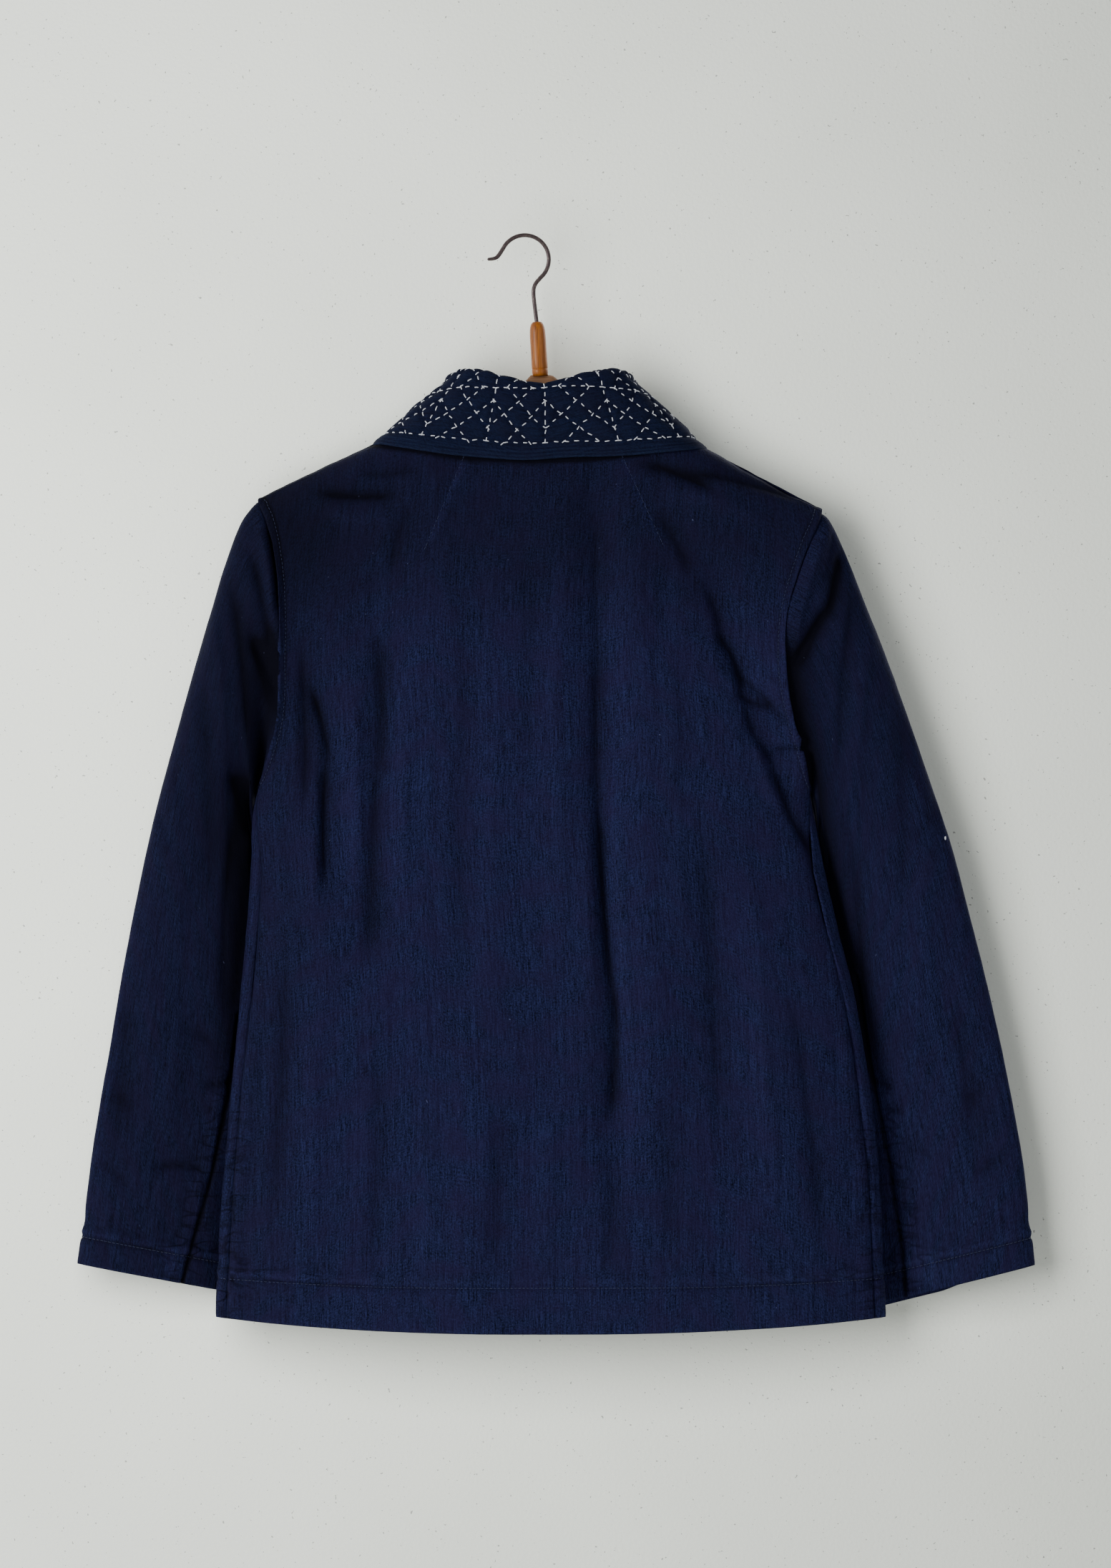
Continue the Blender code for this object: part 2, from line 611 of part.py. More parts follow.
def shell(name, outer, inner, material, flip=False):
    """A closed wall between two grids of points."""
    points = [tuple(value * MM for value in point) for grid in (outer, inner) for line in grid
              for point in line]
    rows, wide = len(outer), len(outer[0])
    under = rows * wide
    faces = []
    for i in range(rows - 1):
        for j in range(wide - 1):
            k = i * wide + j
            faces.append((k, k + 1, k + wide + 1, k + wide))
            faces.append(tuple(n + under for n in (k, k + wide, k + wide + 1, k + 1)))
    around = [j for j in range(wide - 1)] + [i * wide + wide - 1 for i in range(rows - 1)]
    around += [(rows - 1) * wide + j for j in range(wide - 1, 0, -1)]
    around += [i * wide for i in range(rows - 1, 0, -1)]
    for a, b in zip(around, around[1:] + around[:1]):
        faces.append((b, a, a + under, b + under))
    mesh = bpy.data.meshes.new(name)
    mesh.from_pydata(points, [], [face[::-1] for face in faces] if flip else faces)
    mesh.shade_smooth()
    return add(name, mesh, material)


def add(name, data, material):
    piece = bpy.data.objects.new(name, data)
    parts.objects.link(piece)
    piece.data.materials.append(material)
    return piece


def finish(name, colour, roughness, metallic=0.0):
    """A Principled material. The colour is linear."""
    material = bpy.data.materials.new(name)
    material.use_nodes = True
    shader = material.node_tree.nodes["Principled BSDF"]
    shader.inputs["Base Color"].default_value = (*colour, 1.0)
    shader.inputs["Roughness"].default_value = roughness
    shader.inputs["Metallic"].default_value = metallic
    return material


# ---------------------------------------------------------------- the hanger

def hook_line():
    """Middle of the hook's wire, from its free end to inside the hanger's neck."""
    points = list(reversed(HOOK_END))
    first, last = math.radians(154), math.radians(-50)
    turns = 22
    for k in range(turns + 1):
        turn = mix(first, last, k / turns)
        points.append((HOOK_MIDDLE[0] + HOOK_BEND * math.cos(turn),
                       HOOK_MIDDLE[1] + HOOK_BEND * math.sin(turn)))
    return points + HOOK_STEM


def make_hook(material):
    curve = bpy.data.curves.new("hook", "CURVE")
    curve.dimensions = "3D"
    curve.bevel_depth = HOOK_WIRE / 2 * MM
    curve.bevel_resolution = 3
    curve.render_resolution_u = 0
    curve.use_fill_caps = True
    line = hook_line()
    spline = curve.splines.new("POLY")
    spline.points.add(len(line) - 1)
    for point, (x, z) in zip(spline.points, line):
        point.co = (x * MM, 0.0, z * MM, 1.0)
    add("hook", curve, material)


def make_neck(material):
    """The turned wooden sleeve that the wire goes into, round the wire's end."""
    top, foot = Vector((NECK_TOP[0], 0, NECK_TOP[1])), Vector((NECK_FOOT[0], 0, NECK_FOOT[1]))
    length = (foot - top).length
    bore = HOOK_WIRE / 2 + 0.35
    bored = 14.0
    profile = [(bore, -0.4), (2.4, -0.2), (3.7, -1.0), (4.7, -2.4), (5.3, -4.6), (NECK_RADIUS, -8.0),
               (NECK_RADIUS, -length + 0.8), (NECK_RADIUS - 0.5, -length), (0.0, -length)]
    inside = [(0.0, -bored), (bore, -bored)]
    line = inside + profile
    mesh = bpy.data.meshes.new("hanger_neck")
    mesh.from_pydata([(r * MM, 0.0, z * MM) for r, z in line],
                     [(n, n + 1) for n in range(len(line) - 1)], [])
    piece = add("hanger_neck", mesh, material)
    turning = piece.modifiers.new("Turning", "SCREW")
    turning.steps = turning.render_steps = 24
    turning.use_merge_vertices = True
    turning.merge_threshold = 0.00001
    piece.location = top * MM
    piece.rotation_euler = (0.0, -math.atan2(foot.x - top.x, top.z - foot.z), 0.0)


def make_bar(material):
    """The sloping wooden bar: sections along it, rounded above and below."""
    places = [(-row.out, row) for row in reversed(BAR[1:])] + [(row.out, row) for row in BAR]
    rounds = 12
    rings = []
    for out, row in places:
        ring = []
        thick = BAR_THICK * (0.55 if row is BAR[-1] else 1.0)
        top = min(BAR_CREST, ridge(COLLAR_MIDDLE + out) - row.below)
        for k in range(rounds):
            turn = 2 * math.pi * (k + 0.5) / rounds
            ring.append(Vector((COLLAR_MIDDLE + out, math.cos(turn) * thick / 2,
                                top - row.height / 2 + math.sin(turn) * row.height / 2)))
        rings.append(ring)
    points = [tuple(value * MM for value in point) for ring in rings for point in ring]
    faces = [tuple(range(rounds))[::-1], tuple((len(rings) - 1) * rounds + k for k in range(rounds))]
    for i in range(len(rings) - 1):
        for k in range(rounds):
            n = (k + 1) % rounds
            faces.append((i * rounds + k, i * rounds + n, (i + 1) * rounds + n, (i + 1) * rounds + k))
    mesh = bpy.data.meshes.new("hanger_bar")
    mesh.from_pydata(points, [], faces)
    mesh.shade_smooth()
    add("hanger_bar", mesh, material)


# ---------------------------------------------------------------- the object

for old in list(bpy.data.objects):
    bpy.data.objects.remove(old)
parts = bpy.data.collections.new(OBJECT_NAME)
bpy.context.scene.collection.children.link(parts)

indigo = finish("indigo_cotton", (0.0075, 0.0117, 0.043), 0.85)
stitched = finish("stitched_cotton", (0.012, 0.018, 0.05), 0.85)
honey_wood = finish("varnished_wood", (0.33, 0.13, 0.04), 0.35)
pale_wood = finish("bare_wood", (0.30, 0.15, 0.07), 0.6)
iron = finish("dark_iron", (0.09, 0.065, 0.06), 0.45, 1.0)

cloth("back", trim(back_grid(), True, False, True, True), CLOTH, 1.0, indigo, flip=True)
for name in SIDES:
    cloth(f"front_{name}", trim(front_grid(name), True, False, True), CLOTH, 1.0, indigo,
          flip=name == "right")
    for half, outer, inner in sleeve_halves(name):
        shell(f"sleeve_{name}_{half}", outer, inner, indigo, flip=name == "left")
cloth("collar", trim(collar_grid()), COLLAR_CLOTH, -1.0, stitched)
make_bar(pale_wood)
make_neck(honey_wood)
make_hook(iron)
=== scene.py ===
"""An indigo work jacket with a stitched turn-down collar, on a wooden hanger, for Blender 4.5.

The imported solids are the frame. The cloth pieces follow the same tables as those solids, in
millimetres, with the creases, seams and stitches that the solids leave out.
"""

import math
from collections import namedtuple
from itertools import groupby

import bpy
import numpy as np
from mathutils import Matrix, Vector, noise


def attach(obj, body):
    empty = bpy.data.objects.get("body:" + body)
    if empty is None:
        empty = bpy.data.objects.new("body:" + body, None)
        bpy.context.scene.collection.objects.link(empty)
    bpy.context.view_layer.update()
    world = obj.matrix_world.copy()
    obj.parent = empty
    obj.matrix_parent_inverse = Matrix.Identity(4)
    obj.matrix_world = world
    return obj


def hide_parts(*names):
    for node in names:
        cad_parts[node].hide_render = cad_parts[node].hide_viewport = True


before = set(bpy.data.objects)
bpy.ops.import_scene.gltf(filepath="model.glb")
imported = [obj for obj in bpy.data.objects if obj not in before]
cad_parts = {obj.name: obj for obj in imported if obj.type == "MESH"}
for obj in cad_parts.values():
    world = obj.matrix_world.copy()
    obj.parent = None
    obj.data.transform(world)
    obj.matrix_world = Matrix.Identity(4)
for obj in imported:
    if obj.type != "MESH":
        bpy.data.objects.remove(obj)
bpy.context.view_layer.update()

MM = 0.001

# ---- the form, as in the solids

WALL = 1.5              # the solids' cloth
CLOTH_WALL = 1.2        # the cloth here
COLLAR_WALL = 2.2       # the solid collar's
COLLAR_CLOTH_WALL = COLLAR_WALL - 0.3
COLLAR_SEAM = 1.2       # from the neck's seam to the collar
SEAM_GAP = 0.36
CLEAR = 1.0             # between a sleeve and the body beside it
BEND_RINGS = 4          # a sleeve's rings that share the armhole's bend
PUSH_PER_RING = 7.0     # how fast a push on a sleeve fades, by ring and by column
PUSH_PER_COLUMN = 3.0
SHOULDER_ROUND = 24.0   # height over which the shoulders round off
ARMHOLE_DEPTH = 23.0
SIDE_WRAP = 8.0         # the fronts' reach round the sides, from so far under the arm
WRAP_START = 60.0
HEM_DROP = 12.5
FRONT_HEM_DROP = 14.5
CURVE_POWER = 2.4       # of the hems and of the neck
BACK_NECK_Z = -147.0
COLLAR_MIDDLE = 13.5
ROLL_HALF = 4.6
EDGE_LIFT = 1.5
FALL_BULGE = 1.5


def table(wide, text):
    """Rows of so many numbers each, from text."""
    return np.array(text.split(), float).reshape(-1, wide)


Side = namedtuple("Side", "shoulder_x shoulder_z underarm_y underarm_z neck_x front_neck_x "
                          "front_neck_z front_hem_x ridge_slope")
SIDES = {
    "left": Side(-200.9, -198.0, 3.0, -418.0, -70.0, -18.0, -206.0, -27.0, 0.466),
    "right": Side(228.4, -207.0, 3.0, -420.0, 97.0, 48.0, -206.0, 108.0, -0.522),
}

# Height, left edge, right edge, half depth at the back and at the front.
BODY = table(5, """
-100 -200.9 228.4   16   15   -150 -200.9 228.4   19   18   -199 -200.9 228.4   22   21
-215 -194.6 225.4   23   22   -235 -189.8 217.2 24.5 23.5   -260 -186.6 208.6   26   25
-290 -184.9   201 27.5   26   -330 -185.2 200.6 28.5   27   -365 -186.5   206   29 27.5
-393 -192.8 213.5   29   28   -435   -204 220.5 29.5   28   -475 -205.9 228.3   30 28.5
-525 -209.6 239.7 30.5   29   -580 -214.6 253.3   31 29.5   -640 -220.3 263.3 31.5   30
-715   -227   271   32   30   -770   -231 273.8 32.5 30.5   -817 -232.8 275.9   33   31
""")[::-1]

# Large folds: from x, z to x, z, half width and depth.
BACK_FOLDS = table(6, """
   57 -215   69 -680 17 5.5      84 -250   98 -640 20  -3
 -105 -320 -112 -490 26   4    -150 -355 -140 -470 15 3.5
148.5 -268  190 -385 16 4.5     -30 -640  -44 -800 30  -3
  150 -600  158 -800 32   3
""")
FRONT_FOLDS = table(6, """
-120 -230 -105 -560 22 4.5    -75 -400  -82 -760 24  -3
 142 -230  160 -600 24 4.5    200 -520  205 -780 26   3
""")

# The sleeves: outer edge x, z, inner edge x, z, half depth, and how far the edges lie forward.
SLEEVES = {
    "left": table(7, """
-212.8 -216.5   -201 -428   23   0  7   -225.2 -248.9 -203.5 -446 23.5 0.5 13
-234.9 -281.3 -200.5 -466   24   1 18   -244.6 -313.7   -196 -489   24   2 21
-258.1 -362.3 -191.5 -516   23   3 26   -271.6 -410.9   -186 -545   21   4 31
-283.5 -459.5   -180 -577   19   5 34   -293.8 -508.1   -174 -610   17   6 36
-302.9 -556.7   -170 -643 15.5   7 37     -311 -605.3   -170 -677 14.5   8 38
-319.7 -653.9   -175 -711   14   9 38   -327.2 -702.5   -184 -745   14  10 38
-332.8   -748   -196 -778   14  11 38   -337.5 -777.6   -205 -803 14.5  12 38
"""),
    "right": table(7, """
234.4 -218.5 219.8 -430   23   0    7   248.4 -248.9   222 -448 23.5 0.5   13
260.8 -281.3 222.5 -469   24   1   18   273.8 -313.7   223 -493   24   2   23
291.6 -362.3   221 -520   23   3 28.5   308.3 -410.9 217.5 -550   21   4   31
324.5 -459.5   216 -582   19   5   34   337.5 -508.1   212 -615   17   6   36
349.9 -556.7   212 -648 15.5   7   37   361.3 -605.3   216 -682 14.5   8   38
  371 -653.9   225 -716   14   9   38   379.6 -702.5   237 -750   14  10   38
384.8   -748 249.5 -784   14  11   38   388.5 -778.7 257.7 -812 14.5  12   38
"""),
}

# The collar from the middle of the back (0) by the neck's side (1) to its front end (2): roll
# out, y, z, edge out, edge below the ridge.
COLLAR = table(6, """
    0  0 -20 -113.5     0 70.8     0.3 24 -19   -106    33 53.8
  0.6 46 -15   -100    68 34.5    0.85 60  -8  -99.5    98 16.5
    1 69   2   -104   120  5.5   1.083 72 7.5   -108 126.5    0
1.167 73  13   -114   129   -5     1.4 69  23   -134   125  -24
  1.7 54  30   -164   105  -68       2 34  32   -190    76 -114
""")

HOOK_MIDDLE = (1.8, -17.05)
HOOK_BEND = 18.3
HOOK_END = [(-19.1, -15.3), (-22.5, -16.6), (-26.7, -17.0)]
HOOK_STEM = [(13.2, -31.6), (10.4, -34.9), (8.8, -38.6), (8.5, -43.0), (9.1, -50.0), (10.2, -59.0),
             (11.3, -68.0), (12.0, -75.0)]
HOOK_TURNS = (154, -50)     # where the bend starts and stops, in degrees
HOOK_RINGS = 190
HOOK_SIDES = 20
WIRE_HALF = 1.6
NECK_TOP = (11.0, -64.3)
NECK_FOOT = (13.5, -103.9)
BAR_THICK = 11.0
BAR_CREST = -104.6
# The bar: out from the middle, below the ridge, height.
BAR = table(3, """
  0   1   27   5.5   1 27.5    12 4.5   26    35   5   25    80   6   24
105 1.4   23   160 1.4   21   176 2.4   18   184 5.5    9
""")


def curve_through(keys, values):
    """A smooth curve through a table's points, as a function. Values may be rows of numbers."""
    keys = np.asarray(keys, float)
    values = np.asarray(values, float)
    flat = values.ndim == 1
    if flat:
        values = values[:, None]
    slopes = np.empty_like(values)
    slopes[1:-1] = (values[2:] - values[:-2]) / (keys[2:] - keys[:-2])[:, None]
    steps = np.diff(keys)
    ends = np.diff(values, axis=0) / steps[:, None]
    slopes[0], slopes[-1] = ends[0], ends[-1]

    def at(place):
        place = np.clip(np.asarray(place, float), keys[0], keys[-1])
        i = np.clip(np.searchsorted(keys, place, side="right") - 1, 0, len(keys) - 2)
        step = steps[i][..., None]
        t = (place - keys[i])[..., None] / step
        a, b = values[i], values[i + 1]
        start, end, rise = slopes[i] * step, slopes[i + 1] * step, b - a
        found = a + t * (start + t * (3 * rise - 2 * start - end + t * (start + end - 2 * rise)))
        return found[..., 0] if flat else found

    return at


left_edge = curve_through(BODY[:, 0], BODY[:, 1] + WALL)
right_edge = curve_through(BODY[:, 0], BODY[:, 2] - WALL)
DEPTHS = {"back": curve_through(BODY[:, 0], BODY[:, 3] - WALL),
          "front": curve_through(BODY[:, 0], BODY[:, 4] - WALL)}
EDGES = {"left": left_edge, "right": right_edge}
HEM_Z = BODY[0, 0]
COLLAR_AT = [curve_through(COLLAR[:, 0], COLLAR[:, k]) for k in range(1, 6)]


def run_along(points, axis=0):
    """How far points lie along their line, or along each column or row of their grid."""
    steps = np.linalg.norm(np.diff(points, axis=axis), axis=-1)
    zero = np.zeros_like(np.take(steps, [0], axis=axis))
    return np.concatenate([zero, np.cumsum(steps, axis=axis)], axis=axis)


def evenly(points, run, count):
    """The curve through points at even distances, where run is how far along it they lie."""
    return curve_through(run, points)(np.linspace(0, run[-1], count))


def mix(a, b, share):
    """From a at share 0 to b at share 1."""
    return a + (b - a) * share


def xyz(x, y, z):
    return np.stack([x, y, z], axis=-1)


def clamp(value):
    return np.clip(value, 0.0, 1.0)


def smooth(value):
    """0 below 0 and 1 above 1, with an easy rise between."""
    value = clamp(value)
    return value * value * (3 - 2 * value)


def ridge(x):
    """Height of the shoulders' ridge, under the cloth."""
    return np.minimum(*[side.shoulder_z + side.ridge_slope * (x - side.shoulder_x)
                        for side in SIDES.values()]) - WALL


def line_place(x, z, x0, z0, x1, z1):
    """Where points lie by a line: share along it, signed distance off it, distance past it."""
    run_x, run_z = x1 - x0, z1 - z0
    length = math.hypot(run_x, run_z)
    to_x, to_z = x - x0, z - z0
    along = (to_x * run_x + to_z * run_z) / length ** 2
    past = np.maximum(0.0, np.maximum(-along, along - 1.0)) * length
    return along, (run_x * to_z - run_z * to_x) / length, past


def fold_depth(folds, x, z):
    """How far the large folds push the cloth in."""
    depth = 0.0
    for *ends, width, deep in folds:
        _, off, past = line_place(x, z, *ends)
        depth = depth + deep * np.exp(-(off / width) ** 2 - (past / (2 * width)) ** 2)
    return depth


def armhole_share(side, z):
    return clamp((side.shoulder_z - z) / (side.shoulder_z - side.underarm_z))


def body_depth(x, z, face):
    """How far the back or the fronts lie from the middle of the cloth, at a place."""
    left, right = left_edge(z), right_edge(z)
    middle, half = (left + right) / 2, (right - left) / 2
    off = np.minimum(1.0, np.abs(x - middle) / half)
    down = clamp((ridge(x) - z) / SHOULDER_ROUND)
    full = DEPTHS[face](z) * np.sqrt(1 - (1 - down) ** 2)
    share = np.where(x < middle, armhole_share(SIDES["left"], z), armhole_share(SIDES["right"], z))
    open_half = 2 * ARMHOLE_DEPTH * np.sqrt(share * (1 - share))
    inside = np.sqrt(1 - off ** 3)
    quiet = np.minimum(1.0, 3 * inside) * np.sqrt(1 - (1 - down) ** 2)
    folds = BACK_FOLDS if face == "back" else FRONT_FOLDS
    return open_half * (1 - inside) ** 2 + full * inside - fold_depth(folds, x, z) * quiet


def back_y(x, z):
    return -body_depth(x, z, "back")


def front_y(x, z):
    return body_depth(x, z, "front")


def side_lean(side, z):
    """How far forward a side lies beside its armhole."""
    return side.underarm_y * armhole_share(side, z) ** 2


def armhole_point(name, share, behind=True):
    """Points of the armhole: share 0 is the shoulder, 1 the underarm."""
    side = SIDES[name]
    cos = 1 - 2 * share
    sin = np.sqrt(np.maximum(0.0, 1 - cos ** 2))
    z = mix(side.shoulder_z, side.underarm_z, share) - WALL * cos
    y = (-1 if behind else 1) * ARMHOLE_DEPTH * sin + side_lean(side, z)
    return xyz(EDGES[name](z), y, z)


def wrap_at(side, z):
    """How far a front reaches round its side on to the back."""
    return SIDE_WRAP * clamp((side.underarm_z - z) / WRAP_START)


def hem_curve(x, drop):
    left, right = BODY[0, 1], BODY[0, 2]
    return drop * (1 - np.abs(2 * (x - left) / (right - left) - 1) ** CURVE_POWER)


def neck_drop(out):
    """Height of the neck's edge at the back, from -1 on the left to 1 on the right."""
    sides = [ridge(side.neck_x) for side in SIDES.values()]
    return mix(BACK_NECK_Z, sum(sides) / 2, np.abs(out) ** CURVE_POWER)


def back_neck(share):
    left, right = SIDES["left"].neck_x, SIDES["right"].neck_x
    x = mix(left, right, share)
    z = mix(ridge(left), ridge(right), share) + neck_drop(2 * share - 1) - neck_drop(1)
    return xyz(x, back_y(x, z), z)


def front_neck(side, share):
    x = mix(side.neck_x, side.front_neck_x, share)
    fall = mix(share, np.sin(np.pi / 2 * share), 0.5)
    z = mix(ridge(side.neck_x), side.front_neck_z, fall)
    return xyz(x, front_y(x, z), z)


# ---- grids of the cloth

ARMHOLE_ROWS = 81
SKIRT_ROWS = 139
SIDE_COLUMNS = 62
BACK_NECK_COLUMNS = 66
FRONT_NECK_COLUMNS = 32
EVEN_FROM = 2.8         # square root of the distance at which a side's columns become even

rows_down = np.arange(ARMHOLE_ROWS + SKIRT_ROWS + 1)
row_share = clamp(rows_down / ARMHOLE_ROWS)
ARM_SHARE = mix(row_share, (1 - np.cos(np.pi * row_share)) / 2, 0.5)
SKIRT_SHARE = clamp((rows_down - ARMHOLE_ROWS) / SKIRT_ROWS)
KEEP = (1 - ARM_SHARE) ** 2


def row_heights(name):
    """Height of each of the grid's rows at one side."""
    return mix(armhole_point(name, ARM_SHARE)[..., 2], HEM_Z, SKIRT_SHARE)


def side_steps(wrap, reach, round_edge):
    """Distances of a side's columns from the body's edge, close together at the edge itself."""
    last = np.where(reach > EVEN_FROM ** 2, EVEN_FROM + (reach - EVEN_FROM ** 2) / (2 * EVEN_FROM),
                    np.sqrt(np.maximum(reach, 0)))
    first = (-1 if round_edge else 1) * np.sqrt(wrap)
    t = mix(first[:, None], last[:, None], np.linspace(0, 1, SIDE_COLUMNS + 1)[None, :])
    near = np.sign(t) * t * t
    far = EVEN_FROM ** 2 + 2 * EVEN_FROM * (t - EVEN_FROM)
    return np.where(t > EVEN_FROM, far, near)


def grid_heights(x, level, tops, drop):
    """Heights of a grid whose first row is at tops and whose last is the hem."""
    return level + (tops - level[0])[None, :] * KEEP[:, None] \
        - hem_curve(x, drop) * (SKIRT_SHARE ** 2)[:, None]


def back_grid():
    """The back: rows from the ridge to the hem, columns from left to right."""
    heights = {name: row_heights(name) for name in SIDES}
    left, right = left_edge(heights["left"]), right_edge(heights["right"])
    width = right - left
    share_left, share_right = [(side.neck_x - left[0]) / (right[0] - left[0])
                               for side in SIDES.values()]
    wraps = [wrap_at(side, heights[name]) for name, side in SIDES.items()]
    near = left[:, None] + side_steps(wraps[0], share_left * width, False)
    far = right[:, None] - side_steps(wraps[1], (1 - share_right) * width, False)[:, ::-1]
    shares = np.linspace(0, 1, BACK_NECK_COLUMNS + 1)[None, 1:-1]
    middle = mix(near[:, -1:], far[:, :1], shares)
    x = np.concatenate([near, middle, far], axis=1)
    level = mix(heights["left"][:, None], heights["right"][:, None],
                (x - left[:, None]) / width[:, None])
    tops = ridge(x[0])
    tops[SIDE_COLUMNS:SIDE_COLUMNS + BACK_NECK_COLUMNS + 1] = \
        back_neck(np.linspace(0, 1, BACK_NECK_COLUMNS + 1))[:, 2]
    z = grid_heights(x, level, tops, HEM_DROP)
    grid = xyz(x, back_y(x, z), z)
    grid[:ARMHOLE_ROWS + 1, 0] = armhole_point("left", ARM_SHARE[:ARMHOLE_ROWS + 1])
    grid[:ARMHOLE_ROWS + 1, -1] = armhole_point("right", ARM_SHARE[:ARMHOLE_ROWS + 1])
    return grid


def front_grid(name):
    """One front: its columns start at its side and end at its free edge."""
    side = SIDES[name]
    inward = 1 if name == "left" else -1
    heights = row_heights(name)
    side_x = EDGES[name](heights)
    reach = abs(side.neck_x - side_x[0]) / abs(side.front_neck_x - side_x[0])
    front_z = heights + (side.front_neck_z - heights[0]) * KEEP - FRONT_HEM_DROP * SKIRT_SHARE ** 2
    front_x = mix(side.front_neck_x, side.front_hem_x,
                  (side.front_neck_z - front_z) / (side.front_neck_z - HEM_Z))
    neck_x = mix(side_x, front_x, reach)
    steps = side_steps(wrap_at(side, heights), np.abs(neck_x - side_x), True)
    shares = np.linspace(0, 1, FRONT_NECK_COLUMNS + 1)[None, 1:]
    x = np.concatenate([side_x[:, None] + inward * np.abs(steps),
                        mix(neck_x[:, None], front_x[:, None], shares)], axis=1)
    behind = np.concatenate([steps < 0, np.zeros((len(steps), FRONT_NECK_COLUMNS), bool)], axis=1)
    tops = np.concatenate([ridge(x[0, :SIDE_COLUMNS + 1]),
                           front_neck(side, np.linspace(0, 1, FRONT_NECK_COLUMNS + 1)[1:])[:, 2]])
    z = grid_heights(x, heights[:, None], tops, FRONT_HEM_DROP)
    grid = xyz(x, np.where(behind, back_y(x, z), front_y(x, z)), z)
    grid[:ARMHOLE_ROWS + 1, 0] = armhole_point(name, ARM_SHARE[:ARMHOLE_ROWS + 1], False)
    return grid


SLEEVE_HALF = 108       # columns on a sleeve's back half
SOLID_COLUMNS = 10      # and on the solid's
FINE_RINGS = 14         # rings from each of the table's to the next
CUFF_DROP = 3.2


def sleeve_grid(name):
    """One sleeve: rows from the armhole to the cuff, columns round it from the top."""
    side = SIDES[name]
    outward = -1 if name == "left" else 1
    way = np.linspace(0, 1, SLEEVE_HALF + 1)
    half_share = mix(way, (1 - np.cos(np.pi * way)) / 2, 0.6)
    share = np.concatenate([half_share, half_share[-2:0:-1]])
    sign = np.concatenate([np.ones(SLEEVE_HALF + 1), -np.ones(SLEEVE_HALF - 1)])
    sin = np.sqrt(np.maximum(0.0, 1 - (1 - 2 * share) ** 2)) * sign
    column = np.arccos(np.clip(1 - 2 * share, -1, 1)) / np.pi * SOLID_COLUMNS
    armhole = armhole_point(name, share)
    armhole[sign < 0] = armhole_point(name, share[sign < 0], False)
    armhole[:, 0] += outward * (WALL + SEAM_GAP) * np.maximum(0.0, (share - 0.5) / 0.5)
    bends = armhole[:, 0] - mix(armhole[0, 0], armhole[SLEEVE_HALF, 0], share)
    rings, needs = [], []
    for i, (outer_x, outer_z, inner_x, inner_z, depth, *edges_y) in enumerate(SLEEVES[name]):
        x = mix(outer_x, inner_x, share) + bends * max(0.0, 1 - (i + 1) / BEND_RINGS) ** 2
        z = mix(outer_z, inner_z, share)
        half = depth * np.sign(sin) * np.abs(sin) ** 0.85
        middle = mix(*edges_y, share ** 1.4)
        reach = x - outward * (WALL + CLEAR)
        needed = front_y(reach, z) + WALL + CLEAR + np.abs(half) - middle
        apart = (reach - EDGES[name](z)) * -outward <= 0
        needed[apart | (z > side.underarm_z + 2.0)] = 0.0
        needs.append(np.maximum(0.0, needed))
        rings.append(xyz(x, middle - half, z))
    # Where the body would push a ring forward, the push spreads to the rings and columns near it.
    apart = PUSH_PER_COLUMN * np.abs(column[:, None] - column[None, :])
    for i, ring in enumerate(rings):
        lift = np.zeros(len(share))
        for k, need in enumerate(needs):
            if need.max() > 0:
                need = np.where(need > 0, need, -1e3)[:, None]
                lift = np.maximum(lift, (need - (apart + PUSH_PER_RING * abs(i - k))).max(axis=0))
        ring[:, 1] += lift
    coarse = np.array([armhole] + rings)
    last = len(coarse) - 1
    fine = curve_through(np.arange(last + 1), coarse.reshape(last + 1, -1))
    places = np.linspace(0, last, FINE_RINGS * last + 1)
    grid = fine(places).reshape(len(places), len(share), 3)
    if name == "right":     # the cuff's front half shows below its back half
        inner_half = smooth((share - 0.35) / 0.2) * smooth((1 - share) / 0.1) * (sign < 0)
        grid[..., 2] -= CUFF_DROP * (smooth((places - (last - 2)) / 2.0)[:, None] * inner_half)
    return grid


COLLAR_ROWS = 420
COLLAR_COLUMNS = 96
COLLAR_FALL = COLLAR_COLUMNS * 3 // 4       # the column half way down the turned-down part
COLLAR_SMOOTHINGS = 140


def unit(vectors):
    return vectors / np.maximum(np.linalg.norm(vectors, axis=-1, keepdims=True), 1e-9)


def facing(x, y, z):
    """Which way the shoulders face at a place."""
    left = 1 - min(1.0, max(0.0, (float(ridge(x)) - z) / SHOULDER_ROUND))
    slope = float(ridge(x + 1) - ridge(x - 1)) / 2
    full = abs(y) / math.sqrt(max(1e-6, 1 - left * left))
    return Vector((-slope * left, y / max(full, 1.0) ** 2 * SHOULDER_ROUND, left)).normalized()


def on_shoulder(x, down, lift):
    """A place on the shoulders, in front of the ridge where down is less than 0."""
    z = float(ridge(x)) - abs(down)
    y = float(front_y(x, z) if down < 0 else back_y(x, z))
    return Vector((x, y, z)) + facing(x, y, z) * lift


def roll_point(at, way):
    """The top of the collar's roll."""
    out, y, z = [float(curve(at)) for curve in COLLAR_AT[:3]]
    return Vector((COLLAR_MIDDLE + way * out, y, z))


